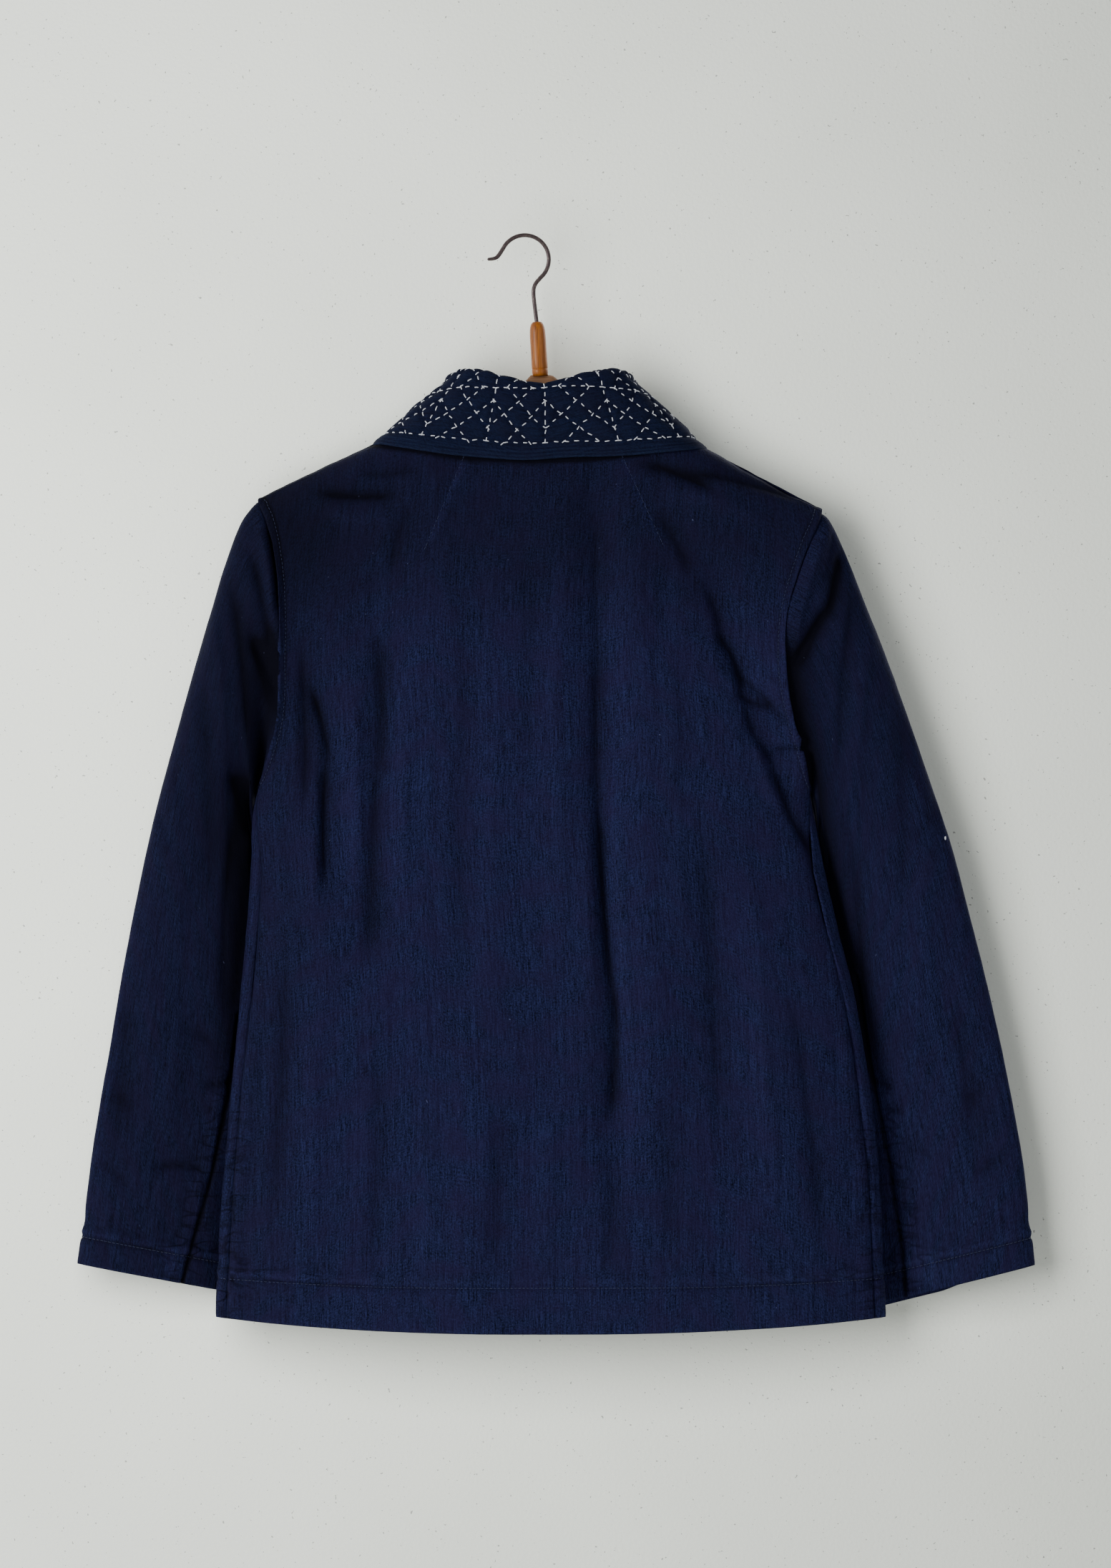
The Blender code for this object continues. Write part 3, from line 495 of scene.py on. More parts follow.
def collar_profile(at, base, away, right):
    """Points across the collar, from its foot over its roll to its edge."""
    way = 1 if right else -1
    roll = roll_point(at, way)
    edge = on_shoulder(COLLAR_MIDDLE + way * float(COLLAR_AT[3](at)), float(COLLAR_AT[4](at)),
                       COLLAR_WALL + WALL + EDGE_LIFT)
    along = (roll_point(at + 0.01, way) - roll_point(max(0.0, at - 0.01), way)).normalized()
    if at == 0:
        along = Vector((way, 0, 0))
    up = (Vector((0, 0, 1)) - along * along.z).normalized()
    out = up.cross(along) * -way
    inner = roll - (out + up) * ROLL_HALF
    outer = roll + (out - up) * ROLL_HALF
    stand = inner - base - away * COLLAR_WALL
    turned = math.atan2(stand.dot(facing(*base)), stand.dot(away))
    base = base + away * (COLLAR_SEAM + COLLAR_WALL * max(0.0, math.sin(turned)))
    points = [base, base.lerp(inner, 0.5), inner]
    points += [roll - out * ROLL_HALF * 0.75 - up * ROLL_HALF * 0.3, roll,
               roll + out * ROLL_HALF * 0.75 - up * ROLL_HALF * 0.3, outer]
    for share in (0.25, 0.5, 0.75, 1.0):
        bulge = 4 * share * (1 - share)
        points.append(outer.lerp(edge, share) + (out + up) * FALL_BULGE * bulge)
    return points


def collar_grid():
    """The collar's coarse rows, as in the solid, drawn finer both ways."""
    left, right = SIDES["left"], SIDES["right"]
    front, behind = np.linspace(0, 1, 7), np.linspace(0, 1, 9)
    rows = [(-1 - s, Vector(p)) for s, p in zip(front[:0:-1], front_neck(left, front)[:0:-1])]
    rows += [(2 * s - 1, Vector(p)) for s, p in zip(behind, back_neck(behind))]
    rows += [(1 + s, Vector(p)) for s, p in zip(front[1:], front_neck(right, front)[1:])]
    coarse = []
    for (at, base), (next_at, next_base) in zip(rows, rows[1:]):
        coarse += [(at, base), ((at + next_at) / 2, (base + next_base) / 2)]
    coarse.append(rows[-1])
    lines = []
    for n, (at, base) in enumerate(coarse):
        along = coarse[min(n + 1, len(coarse) - 1)][1] - coarse[max(n - 1, 0)][1]
        away = facing(*base).cross(along).normalized()
        profile = np.array([tuple(p) for p in collar_profile(abs(at), base, away, at > 0)])
        lines.append(evenly(profile, run_along(profile), COLLAR_COLUMNS + 1))
    lines = np.array(lines)
    grid = evenly(lines.reshape(len(lines), -1), run_along(lines[:, COLLAR_FALL]),
                  COLLAR_ROWS + 1).reshape(COLLAR_ROWS + 1, -1, 3)
    for _ in range(COLLAR_SMOOTHINGS):
        grid[1:-1] += (grid[2:] + grid[:-2] - 2 * grid[1:-1]) * 0.4
    return grid


# ---- creases, seams and hems

# Creases of the back: from x, z to x, z, bow to its side, half width, depth in, in mm. A
# negative depth is a ridge.
BACK_CREASES = table(7, """
  56 -205   57   -330 -1   7  1.6     58 -300   57   -440 -2 7.5  3.2
  57 -410   71   -600 -3 6.5  5.6     70 -560   66   -676  1 6.5  4.6
  72 -400   84   -640 -2   8 -3.4     45 -430   54   -650  2  10   -2
-110 -292 -108   -420  2  12  3.4   -108 -390 -115   -560 -2  12  3.4
-128 -330 -126   -500  3   8 -2.2   -161 -338 -146   -400  2   5  3.4
-147 -384 -149   -500 -3 6.5  3.8   -168 -296 -165   -450  2   7  2.6
-157 -400 -158   -520  2   5 -1.8    -84 -320  -90   -520 -3  10   -2
 136 -262  150   -318  4   6  2.6    147 -300  166   -352  5   6    4
 160 -346  192   -357 -2 4.5  3.4    168 -350  192   -402 -5 5.5  3.2
 186 -392  221   -470 -4   6  3.8    154 -326  203   -377  5 4.5  2.2
 176 -372  200   -438 -5 4.5 -2.4    166 -330  196   -346  4   5 -2.4
 188 -389  215 -388.5  1 2.8  2.8    192 -381  213   -380  1   3 -1.6
 212 -440  238   -540 -3   6  2.2     84 -172  150   -197  4 6.5  3.4
 120 -178  219   -203  3   5  2.6    104 -190  190   -218  4   7 -2.4
  96 -205  128   -262  4   7  2.2   -160 -194  -88   -196 -3   6    3
-150 -207  -84   -212 -3 6.5   -2   -126 -181  -76   -176 -2   5  1.8
 -84 -200 -100   -262 -3   8  1.8      0 -225    4   -420  4  15  1.6
  27 -250   34   -560 -4  13 -1.6    -46 -250  -52   -600  4  15  1.6
 -22 -300  -26   -620  3  12 -1.3    112 -300  126   -560 -4  12 -1.9
 132 -420  148   -700  3  12  2.1    168 -460  190   -720  3  11 -1.9
-180 -520 -190   -760  3  10  1.9   -150 -560 -156   -780 -3  11 -1.7
-110 -600 -114   -790  3  11  1.7    -66 -620  -70   -790 -2  10 -1.5
 -20 -650  -24   -790  3  10  1.7     22 -660   22   -795 -3  11 -1.6
  66 -690   64   -795  2   9    2    104 -640  110   -790  3  11  1.6
 200 -560  228   -780  3   9  2.2   -205 -560 -216   -770  2   6 -1.2
-197 -470 -212   -640  1   4  1.2    240 -540  258   -700  2   4  1.4
""")
FRONT_CREASES = table(7, """
-120 -250 -112 -470  4  9    3   -152 -330 -140 -470  3  6    3    -90 -300  -84 -560 -3 12 -1.8
 -62 -420  -66 -700  3 11  2.6   -140 -560 -150 -780  3 12  1.9   -185 -520 -195 -760  3 10 -1.6
 130 -260  146 -470  4 10    3    168 -330  204 -386  5  5  3.2    178 -385  214 -456  5  5  2.6
 128 -560  136 -780  3 11  2.3    190 -500  214 -760  3 12 -1.8    232 -600  246 -780  3  8  1.8
-150 -205  -84 -215 -3  7  2.4    108 -190  190 -216  4  7  2.4
""")
SLEEVE_CREASES = {
    "left": table(7, """
-194 -208 -184 -292  2   4  3.6   -200 -214 -188 -300  3   5 -2.4   -208 -232 -190 -322  3   6  2.6
-206 -298 -186 -362  2   7  4.4   -222 -402 -203 -456  2   8  3.6   -224 -250 -207 -400  4   7  2.4
-236 -270 -224 -430  4   9 -1.6   -245 -320 -238 -520  5  13  1.7   -268 -380 -262 -560  4  13 -1.5
-214 -420 -226 -600 -4   8    2   -200 -634 -246 -642  2 3.6  2.8   -206 -650 -240 -652  2 4.5 -1.8
-282 -706 -236 -708  3   4  2.8   -278 -716 -238 -718  3 4.5 -1.9   -300 -560 -312 -700  3  12  1.7
-262 -560 -272 -690  3  13 -1.5   -322 -700 -296 -722  2   5  1.7   -262 -600 -232 -612  2   5  1.8
-318 -650 -292 -662  2   7  1.2   -282 -430 -262 -470  3   8  1.5
"""),
    "right": table(7, """
236 -214 226 -268  2   5  1.8   245 -232 231 -290 -1 7.5  4.6   234 -276 205 -328 -2 7.5  4.8
232 -222 206 -312 -3   7 -3.2   254 -250 240 -420 -4   8  2.2   266 -290 252 -460 -4   9 -1.6
282 -340 286 -520  5  13  1.7   300 -390 306 -560  4  12 -1.5   246 -430 258 -600  3   8    2
262 -640 284 -648  2 3.6  2.6   270 -660 292 -667  2 3.6  2.2   283 -736 303 -739  2 3.6  2.4
286 -692 312 -699  3 4.5  1.6   268 -612 312 -622  3 5.5 -1.6   292 -700 300 -760 -2   5 -1.6
330 -560 350 -720 -3  13  1.8   300 -520 312 -600  3  13 -1.4   368 -690 338 -712  2   6  1.7
352 -640 330 -655  2   8  1.2   320 -420 296 -460  2   9  1.5
"""),
}
# The sleeves' underarm seams, on their back: x and z from the body's edge to the cuff.
SLEEVE_SEAMS = {
    "left": [(-214, -590), (-221, -639), (-235, -708), (-250, -762), (-260, -800)],
    "right": [(252, -560), (262, -620), (278.5, -701), (287.5, -762), (292, -812)],
}
# A paler square by each cuff: its sides, its foot and its top.
PALE_SQUARES = {"left": (-272, -257, -786, -766), "right": (294, 316, -795, -764)}


def creases(rows, x, z):
    """How far the creases push the cloth in, each steep on one side and fading out at its ends."""
    depth = np.zeros_like(x)
    for *ends, bow, width, deep in rows:
        along, off, _ = line_place(x, z, *ends)
        t = clamp(along)
        off = off - bow * 4 * t * (1 - t)
        fade = smooth(np.minimum(along, 1 - along) * 3.2 + 0.12)
        wide = width * np.where((off < 0) == (deep > 0), 0.55, 1.15)
        depth += deep * fade * np.exp(-(np.abs(off) / wide) ** 1.5)
    return depth


def waves(x, z, sizes):
    """Slow uneven waves. Each size is its width across and down, its height, and a seed."""
    total = np.zeros(x.size)
    for across, down, height, seed in sizes:
        total += height * np.array([noise.noise((a / across, seed, b / down))
                                    for a, b in zip(x.ravel(), z.ravel())])
    return total.reshape(x.shape)


def bump(off, width):
    """1 on a line, fading to either side of it."""
    return np.exp(-(off / width) ** 2)


def joined(grid):
    """A sleeve's grid, its first column repeated after its last."""
    return np.concatenate([grid, grid[:, :1]], axis=1)


def pucker(run, across, seed, size=9.0):
    """Small uneven gathers beside a line of stitches, 0 to 1."""
    values = [noise.noise((a / size, b / 22.0, seed)) for a, b in zip(run.ravel(), across.ravel())]
    return clamp(0.5 + 1.1 * np.array(values).reshape(run.shape))


def hem_relief(up, run, band, seed):
    """A turned hem: up is the height over its edge, band where it is stitched."""
    gather = pucker(run, up, seed)
    over = up - band
    # The turned-up layer, its stitches, the gathers above and below them, and the edge.
    return 0.5 * smooth((band + 1.0 - up) / 3.0) - bump(over, 1.6) \
        + (0.45 + 0.8 * gather) * bump(over - 4.4, 2.6) \
        - (0.5 + 0.9 * gather) * bump(over - 13.0, 6.0) \
        + 0.4 * gather * bump(over + 6.0, 4.0) - 0.35 * bump(up, 1.2)


def seam_relief(off, run, seed):
    """Beside a seam: the join dips, and the allowance turned under it stands out."""
    gather = pucker(off, run, seed, 22.0)
    return (0.2 + 0.8 * gather) * smooth((SEAM_WIDTH - off) / 3.0) * smooth((off - 0.6) / 2.0) \
        - bump(off, 1.2) - 0.6 * gather * bump(off - SEAM_WIDTH - 3.0, 4.0)


def topstitched(off, inset, strength=1.0):
    """Beside a seam stitched again next to it: a welt between the join and the stitches."""
    welt = 0.55 * smooth((inset - off) / 1.6 + 0.5) * smooth(off / 1.2)
    return (-0.6 * bump(off, 0.9) + welt - 0.55 * bump(off - inset, 1.2)) * strength


# The lower edge of the turned-down collar at the back: x and height.
COLLAR_EDGE = table(2, """
-116 -156.6   -72 -162   -41.6 -167   8 -169.5   51 -167   82.6 -164   124 -154.4   138 -153.4
""")
HEM_BAND = (29.5, 35.0)     # the hem's stitches above its edge, at the sides and in the middle
DARTS = [(-43.0, -164.0, -73.4, -236.0), (74.4, -164.0, 106.2, -233.0)]
CUFF_BAND = 21.0
SEAM_WIDTH = 12.0
EDGE_INSET = 8.0            # the stitches down the fronts' edges
TOP_INSET = 5.6             # the stitches beside the armholes
TOP_INSETS = {"left": TOP_INSET, "right": TOP_INSET + 0.6}      # on the back


def hem_band(x):
    """Height of the hem's stitches over its edge."""
    middle = (left_edge(HEM_Z) + right_edge(HEM_Z)) / 2
    half = (right_edge(HEM_Z) - left_edge(HEM_Z)) / 2
    return mix(HEM_BAND[1], HEM_BAND[0], clamp(np.abs((x - middle) / half)) ** 2)


def body_relief(grid, rows, seed):
    """The relief, wear and painted shade, and gathers that the back and the fronts share, and the
    grid's distances.
    """
    x, z = grid[..., 0], grid[..., 2]
    run, down = run_along(grid, 1), run_along(grid)
    up, band = down[-1:, :] - down, hem_band(x)
    over = up - band
    folded = creases(rows, x, z)
    slow = waves(x, z, [(55, 150, 1.0, seed), (22, 60, 0.5, seed + 7), (9, 13, 0.35, seed + 13)])
    relief = slow - folded + hem_relief(up, run, band, seed + 3)
    # Painted shade darkens the creases, and their ridges are a little lighter. Painted shade also
    # darkens the shoulders and the left side.
    dark = -0.8 * clamp(folded / 4.0) ** 1.3 + 0.12 * clamp(-folded / 2.5)
    dark -= 0.45 * smooth((z + 330.0) / 110.0) + 0.35 * bump(x - left_edge(z), 60.0)
    # At the hem the rubbed edge and the welt over the stitches are paler, and painted shade darkens
    # the stitched groove.
    dark += 0.2 * bump(up, 1.6) + 0.25 * bump(over - 4.0, 2.0) - 0.45 * bump(over, 1.3)
    beside = np.minimum(np.abs(x - left_edge(z)), np.abs(right_edge(z) - x))
    gathers = bump(over - 6.0, 8.0) * (0.3 + 0.7 * bump(beside, 75.0)) \
        + 0.5 * bump(over + 9.0, 7.0) * bump(beside, 60.0) \
        + bump(beside - 7.0, 12.0) * smooth((-610.0 - z) / 90.0)
    return relief, dark, clamp(gathers), run, down


def off_lines(points, x, z):
    """Distance off a run of lines, less than 0 on one side of it."""
    near, signed = np.full(x.shape, 1e3), np.full(x.shape, 1e3)
    for start, end in zip(points, points[1:]):
        _, off, past = line_place(x, z, *start, *end)
        gap = np.hypot(off, past)
        signed = np.where(gap < near, np.where(off < 0, -gap, gap), signed)
        near = np.minimum(near, gap)
    return signed


def in_square(x, z, x0, x1, z0, z1):
    """1 inside a square of the cloth, fading at its edges."""
    return smooth((x - x0) / 1.5) * smooth((x1 - x) / 1.5) * smooth((z - z0) / 2.0) \
        * smooth((z1 - z) / 2.0)


def at_armholes(z, name):
    """1 beside the armhole and 0 below it."""
    return smooth((z - SIDES[name].underarm_z + 4.0) / 10.0)


def below_arm(z, name):
    """0 at the underarm and 1 well below it."""
    return smooth((SIDES[name].underarm_z - 110.0 - z) / 90.0)


def back_relief(grid):
    """The back's relief, its wear and painted shade, and its gathers."""
    relief, wear_and_shade, gathers, run, down = body_relief(grid, BACK_CREASES, 4.0)
    x, z = grid[..., 0], grid[..., 2]
    for name, off in (("left", run), ("right", run[:, -1:] - run)):
        arm = at_armholes(z, name)
        relief += arm * topstitched(off, TOP_INSETS[name], 0.55)
        relief += below_arm(z, name) * seam_relief(off, down, 27.0)
        # Painted shade in the stitched groove beside each armhole.
        wear_and_shade -= arm * 0.35 * bump(off - TOP_INSETS[name], 1.3)
    relief += topstitched(down, 6.0, 0.7) * (np.abs(x - COLLAR_MIDDLE) > 60)
    for dart in DARTS:
        along, off, _ = line_place(x, z, *dart)
        fade = smooth(along * 8) * smooth((1.02 - along) * 5)
        inner = off * (1 if dart[0] < COLLAR_MIDDLE else -1)
        relief += fade * (-0.9 * bump(off, 1.4) + 0.65 * bump(inner - 3.6, 2.6))
        wear_and_shade += fade * 0.35 * bump(inner - 1.5, 1.8)
    # The turned-down collar keeps the light off the cloth just under its edge.
    under = np.interp(x, COLLAR_EDGE[:, 0], COLLAR_EDGE[:, 1]) - z
    wear_and_shade -= 0.9 * smooth((5.0 - under) / 4.0) * ((x > -118) & (x < 142))
    return relief, wear_and_shade, gathers


def front_relief(grid, name):
    """A front's relief, its wear and painted shade, and its gathers."""
    seed = {"left": 50.0, "right": 58.0}[name]
    relief, wear_and_shade, gathers, run, down = body_relief(grid, FRONT_CREASES, seed)
    arm = at_armholes(grid[..., 2], name)
    free = run[:, -1:] - run
    relief += arm * topstitched(run, TOP_INSET, 0.55)
    relief += below_arm(grid[..., 2], name) * seam_relief(run, down, 63.0)
    relief += topstitched(free, EDGE_INSET)
    wear_and_shade += 0.3 * bump(free, 1.6) + (1 - arm) * 0.2 * bump(run - 6.5, 2.5)
    return relief, wear_and_shade, gathers


def sleeve_relief(grid, name):
    """A sleeve's relief, its wear and painted shade, and its gathers."""
    x, y, z = np.moveaxis(grid, -1, 0)
    outward = -1 if name == "left" else 1
    down, run = run_along(grid), run_along(joined(grid), 1)[:, :-1]
    up = down[-1:, :] - down
    over = up - CUFF_BAND
    face = clamp(np.abs(grid_normals(grid, True)[..., 1]) * 1.6 - 0.3)
    seed = 70.0 if name == "left" else 78.0
    folded = creases(SLEEVE_CREASES[name], x, z) * face
    slow = waves(x, z + (y > 18) * 900, [(40, 110, 0.7, seed), (16, 34, 0.5, seed + 5),
                                         (8, 11, 0.35, seed + 9)])
    relief = slow * mix(0.4, 1.0, face) - folded
    relief += 0.8 * hem_relief(up, run, CUFF_BAND + 0 * up, seed + 11)
    gather = pucker(run, down, seed + 15, 8.0)
    relief -= 1.1 * bump(down, 1.6) - 0.4 * gather * bump(down - 6.0, 4.0)
    # The seam that closes the sleeve runs down its back, its allowance turned outwards.
    column = np.arange(grid.shape[1])[None, :]
    behind = (column <= SLEEVE_HALF) * face
    off = off_lines(SLEEVE_SEAMS[name], x, z) * outward
    outer = smooth((off - 0.4) / 1.6)
    relief += behind * (-2.3 * bump(off, 1.3) + 0.9 * outer * smooth((11.0 - off) / 3.0))
    # Beside the body the sleeve falls back into shadow.
    beside = (x - EDGES[name](z)) * outward
    close = behind * smooth((z + 660.0) / 60.0) * smooth((-285.0 - z) / 50.0)
    relief -= 2.2 * close * bump(beside - 3.0, 8.0)
    # At the underarm the sleeve lies close against the body.
    inner = smooth(1 - np.abs(column - SLEEVE_HALF) / 16.0)
    relief = mix(relief, 0.4 + 0.3 * smooth(down / 10.0), inner * smooth((26.0 - down) / 10.0))
    # At the cuff the rubbed edge and the welt are paler and painted shade darkens the stitched
    # groove. Down the seam the allowance is paler and painted shade darkens the join.
    wear_and_shade = 0.2 * bump(up, 1.6) + 0.3 * bump(over - 3.6, 2.0) - 0.45 * bump(over, 1.3)
    wear_and_shade += behind * (0.25 * bump(off - 3.0, 2.2) - 0.9 * bump(off + 0.6, 1.5))
    # Painted shade on the sleeve beside the body, deeper on the right sleeve.
    wear_and_shade -= close * (0.95 if name == "right" else 0.5) * bump(beside, 16.0)
    wear_and_shade += behind * 0.3 * in_square(x, z, *PALE_SQUARES[name])
    # Painted shade darkens the creases and the whole sleeve, most towards its top, and the left
    # sleeve more.
    wear_and_shade -= 0.75 * clamp(folded / 4.0) ** 1.4 \
        + mix(0.1, 0.3, smooth((z + 560) / 260.0)) + (0.28 if name == "left" else 0.0)
    gathers = behind * (bump(off - 6.0, 9.0) + 0.5 * bump(off + 8.0, 6.0)) \
        * smooth((-600.0 - z) / 90.0) \
        + bump(over - 6.0, 8.0) * (0.3 + 0.7 * behind * bump(off, 45.0))
    return relief, wear_and_shade, clamp(gathers)


# ---- the collar's stitched lines

# The lattice is squares, each crossed by two lines both ways. Columns lie along the collar from
# its middle, rows across it from its edge.
COLUMNS_AT = [-234.0, -190.0, -145.0, -97.0, -54.5, -3.2, 39.0, 83.5, 128.0, 173.0, 217.0]
ROWS_AT = [12.5, 54.5, 97.0]
IN_SQUARE = [((0, .25), (.75, 1)), ((.25, 0), (1, .75)), ((0, .75), (.75, 0)), ((.25, 1), (1, .25))]


class Collar:
    """The collar's surface, read by the distance along it and the distance from its edge."""

    def __init__(self, grid):
        self.grid = grid
        self.normal = grid_normals(grid, False)
        middle = np.argmin(np.abs(grid[:, -1, 0] - COLLAR_MIDDLE) + 1e3 * (grid[:, -1, 1] > 0))
        run = run_along(grid[:, COLLAR_FALL])
        self.along = run - run[middle]
        self.across = run_along(grid[:, ::-1], 1)

    def place(self, u, v, lift=0.0):
        """The point and the normal at a place, or None if it is off the collar."""
        if not self.along[0] + 3 < u < self.along[-1] - 3:
            return None
        i = int(np.searchsorted(self.along, u)) - 1
        share = (u - self.along[i]) / (self.along[i + 1] - self.along[i])
        found = []
        for row in (i, i + 1):
            runs = self.across[row]
            if v > runs[-1] - 4:
                return None
            j = min(len(runs) - 2, int(np.searchsorted(runs, v, side="right")) - 1)
            t = (v - runs[j]) / (runs[j + 1] - runs[j])
            found.append([mix(sheet[row, -1 - j], sheet[row, -2 - j], t)
                          for sheet in (self.grid, self.normal)])
        point, normal = [mix(a, b, share) for a, b in zip(*found)]
        return point + normal * lift, normal


def wobble(place, seed, size=0.7):
    """A hand's small error at a place."""
    return size * noise.noise((place[0] / 9.0, place[1] / 9.0, seed))


def lattice_lines():
    """Every stitched line of the collar, as pairs of ends along and across it."""
    foot, top = ROWS_AT[0], ROWS_AT[-1] + 14
    lines = [((u, foot), (u + wobble((u, 0), 3.0, 0.9), top)) for u in COLUMNS_AT]
    for v in ROWS_AT:
        lines += [((u0, v + wobble((u0, v), 5.0, 1.6)), (u1, v + wobble((u1, v), 5.0, 1.6)))
                  for u0, u1 in zip(COLUMNS_AT, COLUMNS_AT[1:])]
    for u0, u1 in zip(COLUMNS_AT, COLUMNS_AT[1:]):
        for v0, v1 in zip(ROWS_AT, ROWS_AT[1:]):
            for number, ends in enumerate(IN_SQUARE):
                spots = [(mix(u0, u1, a), mix(v0, v1, b)) for a, b in ends]
                lines.append([(u + wobble((u, v), 7.0 + number, 2.2),
                               v + wobble((u, v), 17.0 + number, 2.2)) for u, v in spots])
    return lines


def collar_relief(collar, lines):
    """The collar's relief, its wear and painted shade, and its gathers."""
    v = collar.across[:, ::-1]
    u = np.repeat(collar.along[:, None], v.shape[1], axis=1)
    nearest = np.full(u.shape, 50.0)
    for start, end in lines:
        _, off, past = line_place(u, v, *start, *end)
        nearest = np.minimum(nearest, np.hypot(off, past))
    border = smooth((ROWS_AT[0] - 1.5 - v) / 3.0)
    ribs = np.sin(v * 2.1 + 0.6 * np.sin(u / 9.0))
    relief = -0.75 * bump(nearest, 1.7) + 0.35 * smooth(nearest / 7.0)
    relief += waves(u, v, [(26, 18, 0.9, 91.0), (9, 9, 0.35, 93.0)])
    relief += border * (0.25 + 0.4 * ribs) * smooth(v / 2.0)
    relief -= 0.5 * bump(v, 1.5)
    wear_and_shade = 0.3 * bump(v, 1.8) + 0.15 * smooth(nearest / 6.0) + border * 0.3 * ribs
    return relief, wear_and_shade, 0.35 * (1 - border)


# ---- meshes

def grid_normals(grid, closed):
    """Unit normals of a grid of points, from each point's neighbours."""
    if closed:
        wide = np.concatenate([grid[:, -1:], grid, grid[:, :1]], axis=1)
        across = (wide[:, 2:] - wide[:, :-2]) / 2
    else:
        across = np.gradient(grid, axis=1)
    return unit(np.cross(np.gradient(grid, axis=0), across))


def add_piece(name, data, *materials):
    """Puts an object with this mesh, lamp or camera in the scene."""
    piece = bpy.data.objects.new(name, data)
    bpy.context.scene.collection.objects.link(piece)
    for material in materials:
        piece.data.materials.append(material)
    return piece


def new_mesh(name, points, joins, faces):
    mesh = bpy.data.meshes.new(name)
    mesh.from_pydata(points, joins, faces)
    return mesh


def cloth(name, grid, outward, looks, wall, offset, material, closed=False):
    """A thin wall of cloth on a grid, with its relief, its wear and painted shade, its gathers, and
    its grain along it.
    """
    relief, *marks = looks
    normal = grid_normals(grid, closed) * (1.0 if outward else -1.0)
    points = grid + normal * relief[..., None]
    rows, wide = grid.shape[:2]
    v = run_along(grid)
    if closed:
        u = run_along(joined(grid), 1)
    else:
        u = run_along(grid, 1)
        u = u - u[:, wide // 2:wide // 2 + 1]
    i, j = np.meshgrid(np.arange(rows - 1), np.arange(wide if closed else wide - 1), indexing="ij")
    k = (j + 1) % wide
    corners = (i, j), (i + 1, j), (i + 1, k), (i, k)
    faces = np.stack([row * wide + column for row, column in corners], axis=-1).reshape(-1, 4)
    uv = np.stack([np.stack([u[i, j], u[i + 1, j], u[i + 1, j + 1], u[i, j + 1]], axis=-1),
                   np.stack([v[corner] for corner in corners], axis=-1)], axis=-1)
    uv = uv.reshape(-1, 4, 2) * MM
    if not outward:
        faces, uv = faces[:, ::-1], uv[:, ::-1]
    mesh = new_mesh(name, (points.reshape(-1, 3) * MM).tolist(), [], faces.tolist())
    layer = mesh.uv_layers.new(name="grain")
    layer.data.foreach_set("uv", uv.reshape(-1).astype(np.float32))
    for title, values in zip(("wear_and_shade", "gathers"), marks):
        values = np.broadcast_to(values, relief.shape).astype(np.float32)
        mesh.attributes.new(title, "FLOAT", "POINT").data.foreach_set("value", values.reshape(-1))
    mesh.shade_smooth()
    piece = add_piece(name, mesh, material)
    skin = piece.modifiers.new("Cloth", "SOLIDIFY")
    skin.thickness = wall * MM
    skin.offset = offset
    skin.use_rim = True
    return piece, points, normal


def lofted(name, rings, material):
    """A closed solid through rings of points, each end drawn in to a point."""
    count, last = len(rings[0]), (len(rings) - 1) * len(rings[0])
    points = [p for ring in rings for p in ring]
    low, high = len(points), len(points) + 1
    ends = [sum((Vector(p) for p in ring), Vector()) / count for ring in (rings[0], rings[-1])]
    points = [tuple(v * MM for v in p) for p in points] + [tuple(p * MM) for p in ends]
    beside = [(k, (k + 1) % count) for k in range(count)]
    faces = [(i + k, i + n, i + count + n, i + count + k)
             for i in range(0, last, count) for k, n in beside]
    for k, n in beside:
        faces += [(k, low, n), (last + n, high, last + k)]
    mesh = new_mesh(name, points, [], faces)
    mesh.validate()
    mesh.shade_smooth()
    return add_piece(name, mesh, material)


def ring_round(centre, side, half, half_out, count):
    """A ring of points in the plane of one way and of +Y."""
    out = Vector((0, 1, 0))
    turns = [2 * math.pi * n / count for n in range(count)]
    return [tuple(centre + side * half * math.cos(turn) + out * half_out * math.sin(turn))
            for turn in turns]


# ---- materials

def hex_colour(text):
    """A colour as written for a screen, turned to the linear values that shaders take."""
    parts = [int(text[k:k + 2], 16) / 255 for k in (1, 3, 5)]
    linear = [c / 12.92 if c <= 0.04045 else ((c + 0.055) / 1.055) ** 2.4 for c in parts]
    return (*linear, 1.0)


def node(tree, kind, inputs=None, out=0, **settings):
    """Adds a node with its settings and links. An input is a value or another node's socket. It
    gives back one output, or all of them where out is None."""
    made = tree.nodes.new(kind)
    for key, value in settings.items():
        setattr(made, key, value)
    for key, value in (inputs or {}).items():
        if isinstance(value, bpy.types.NodeSocket):
            tree.links.new(value, made.inputs[key])
        else:
            made.inputs[key].default_value = value
    return made.outputs if out is None else made.outputs[out]


def new_material(name, **constants):
    material = bpy.data.materials.new(name)
    material.use_nodes = True
    shader = material.node_tree.nodes["Principled BSDF"]
    for key, value in constants.items():
        shader.inputs[key.replace("_", " ")].default_value = value
    return material, material.node_tree, shader


def blend(tree, *parts):
    """The sum of some values, each times its share."""
    total, *rest = [node(tree, "ShaderNodeMath", {0: value, 1: share}, operation="MULTIPLY")
                    for value, share in parts]
    for part in rest:
        total = node(tree, "ShaderNodeMath", {0: total, 1: part}, operation="ADD")
    return total


def tint(tree, value, low, high, below, above, most=1.0):
    """One colour where a value is low, turning to another, so far at most, where it is high."""
    share = node(tree, "ShaderNodeMapRange", {0: value, 1: low, 2: high, 4: most}, clamp=True)
    return node(tree, "ShaderNodeMix", {0: share, 6: below, 7: above}, 2, data_type="RGBA")


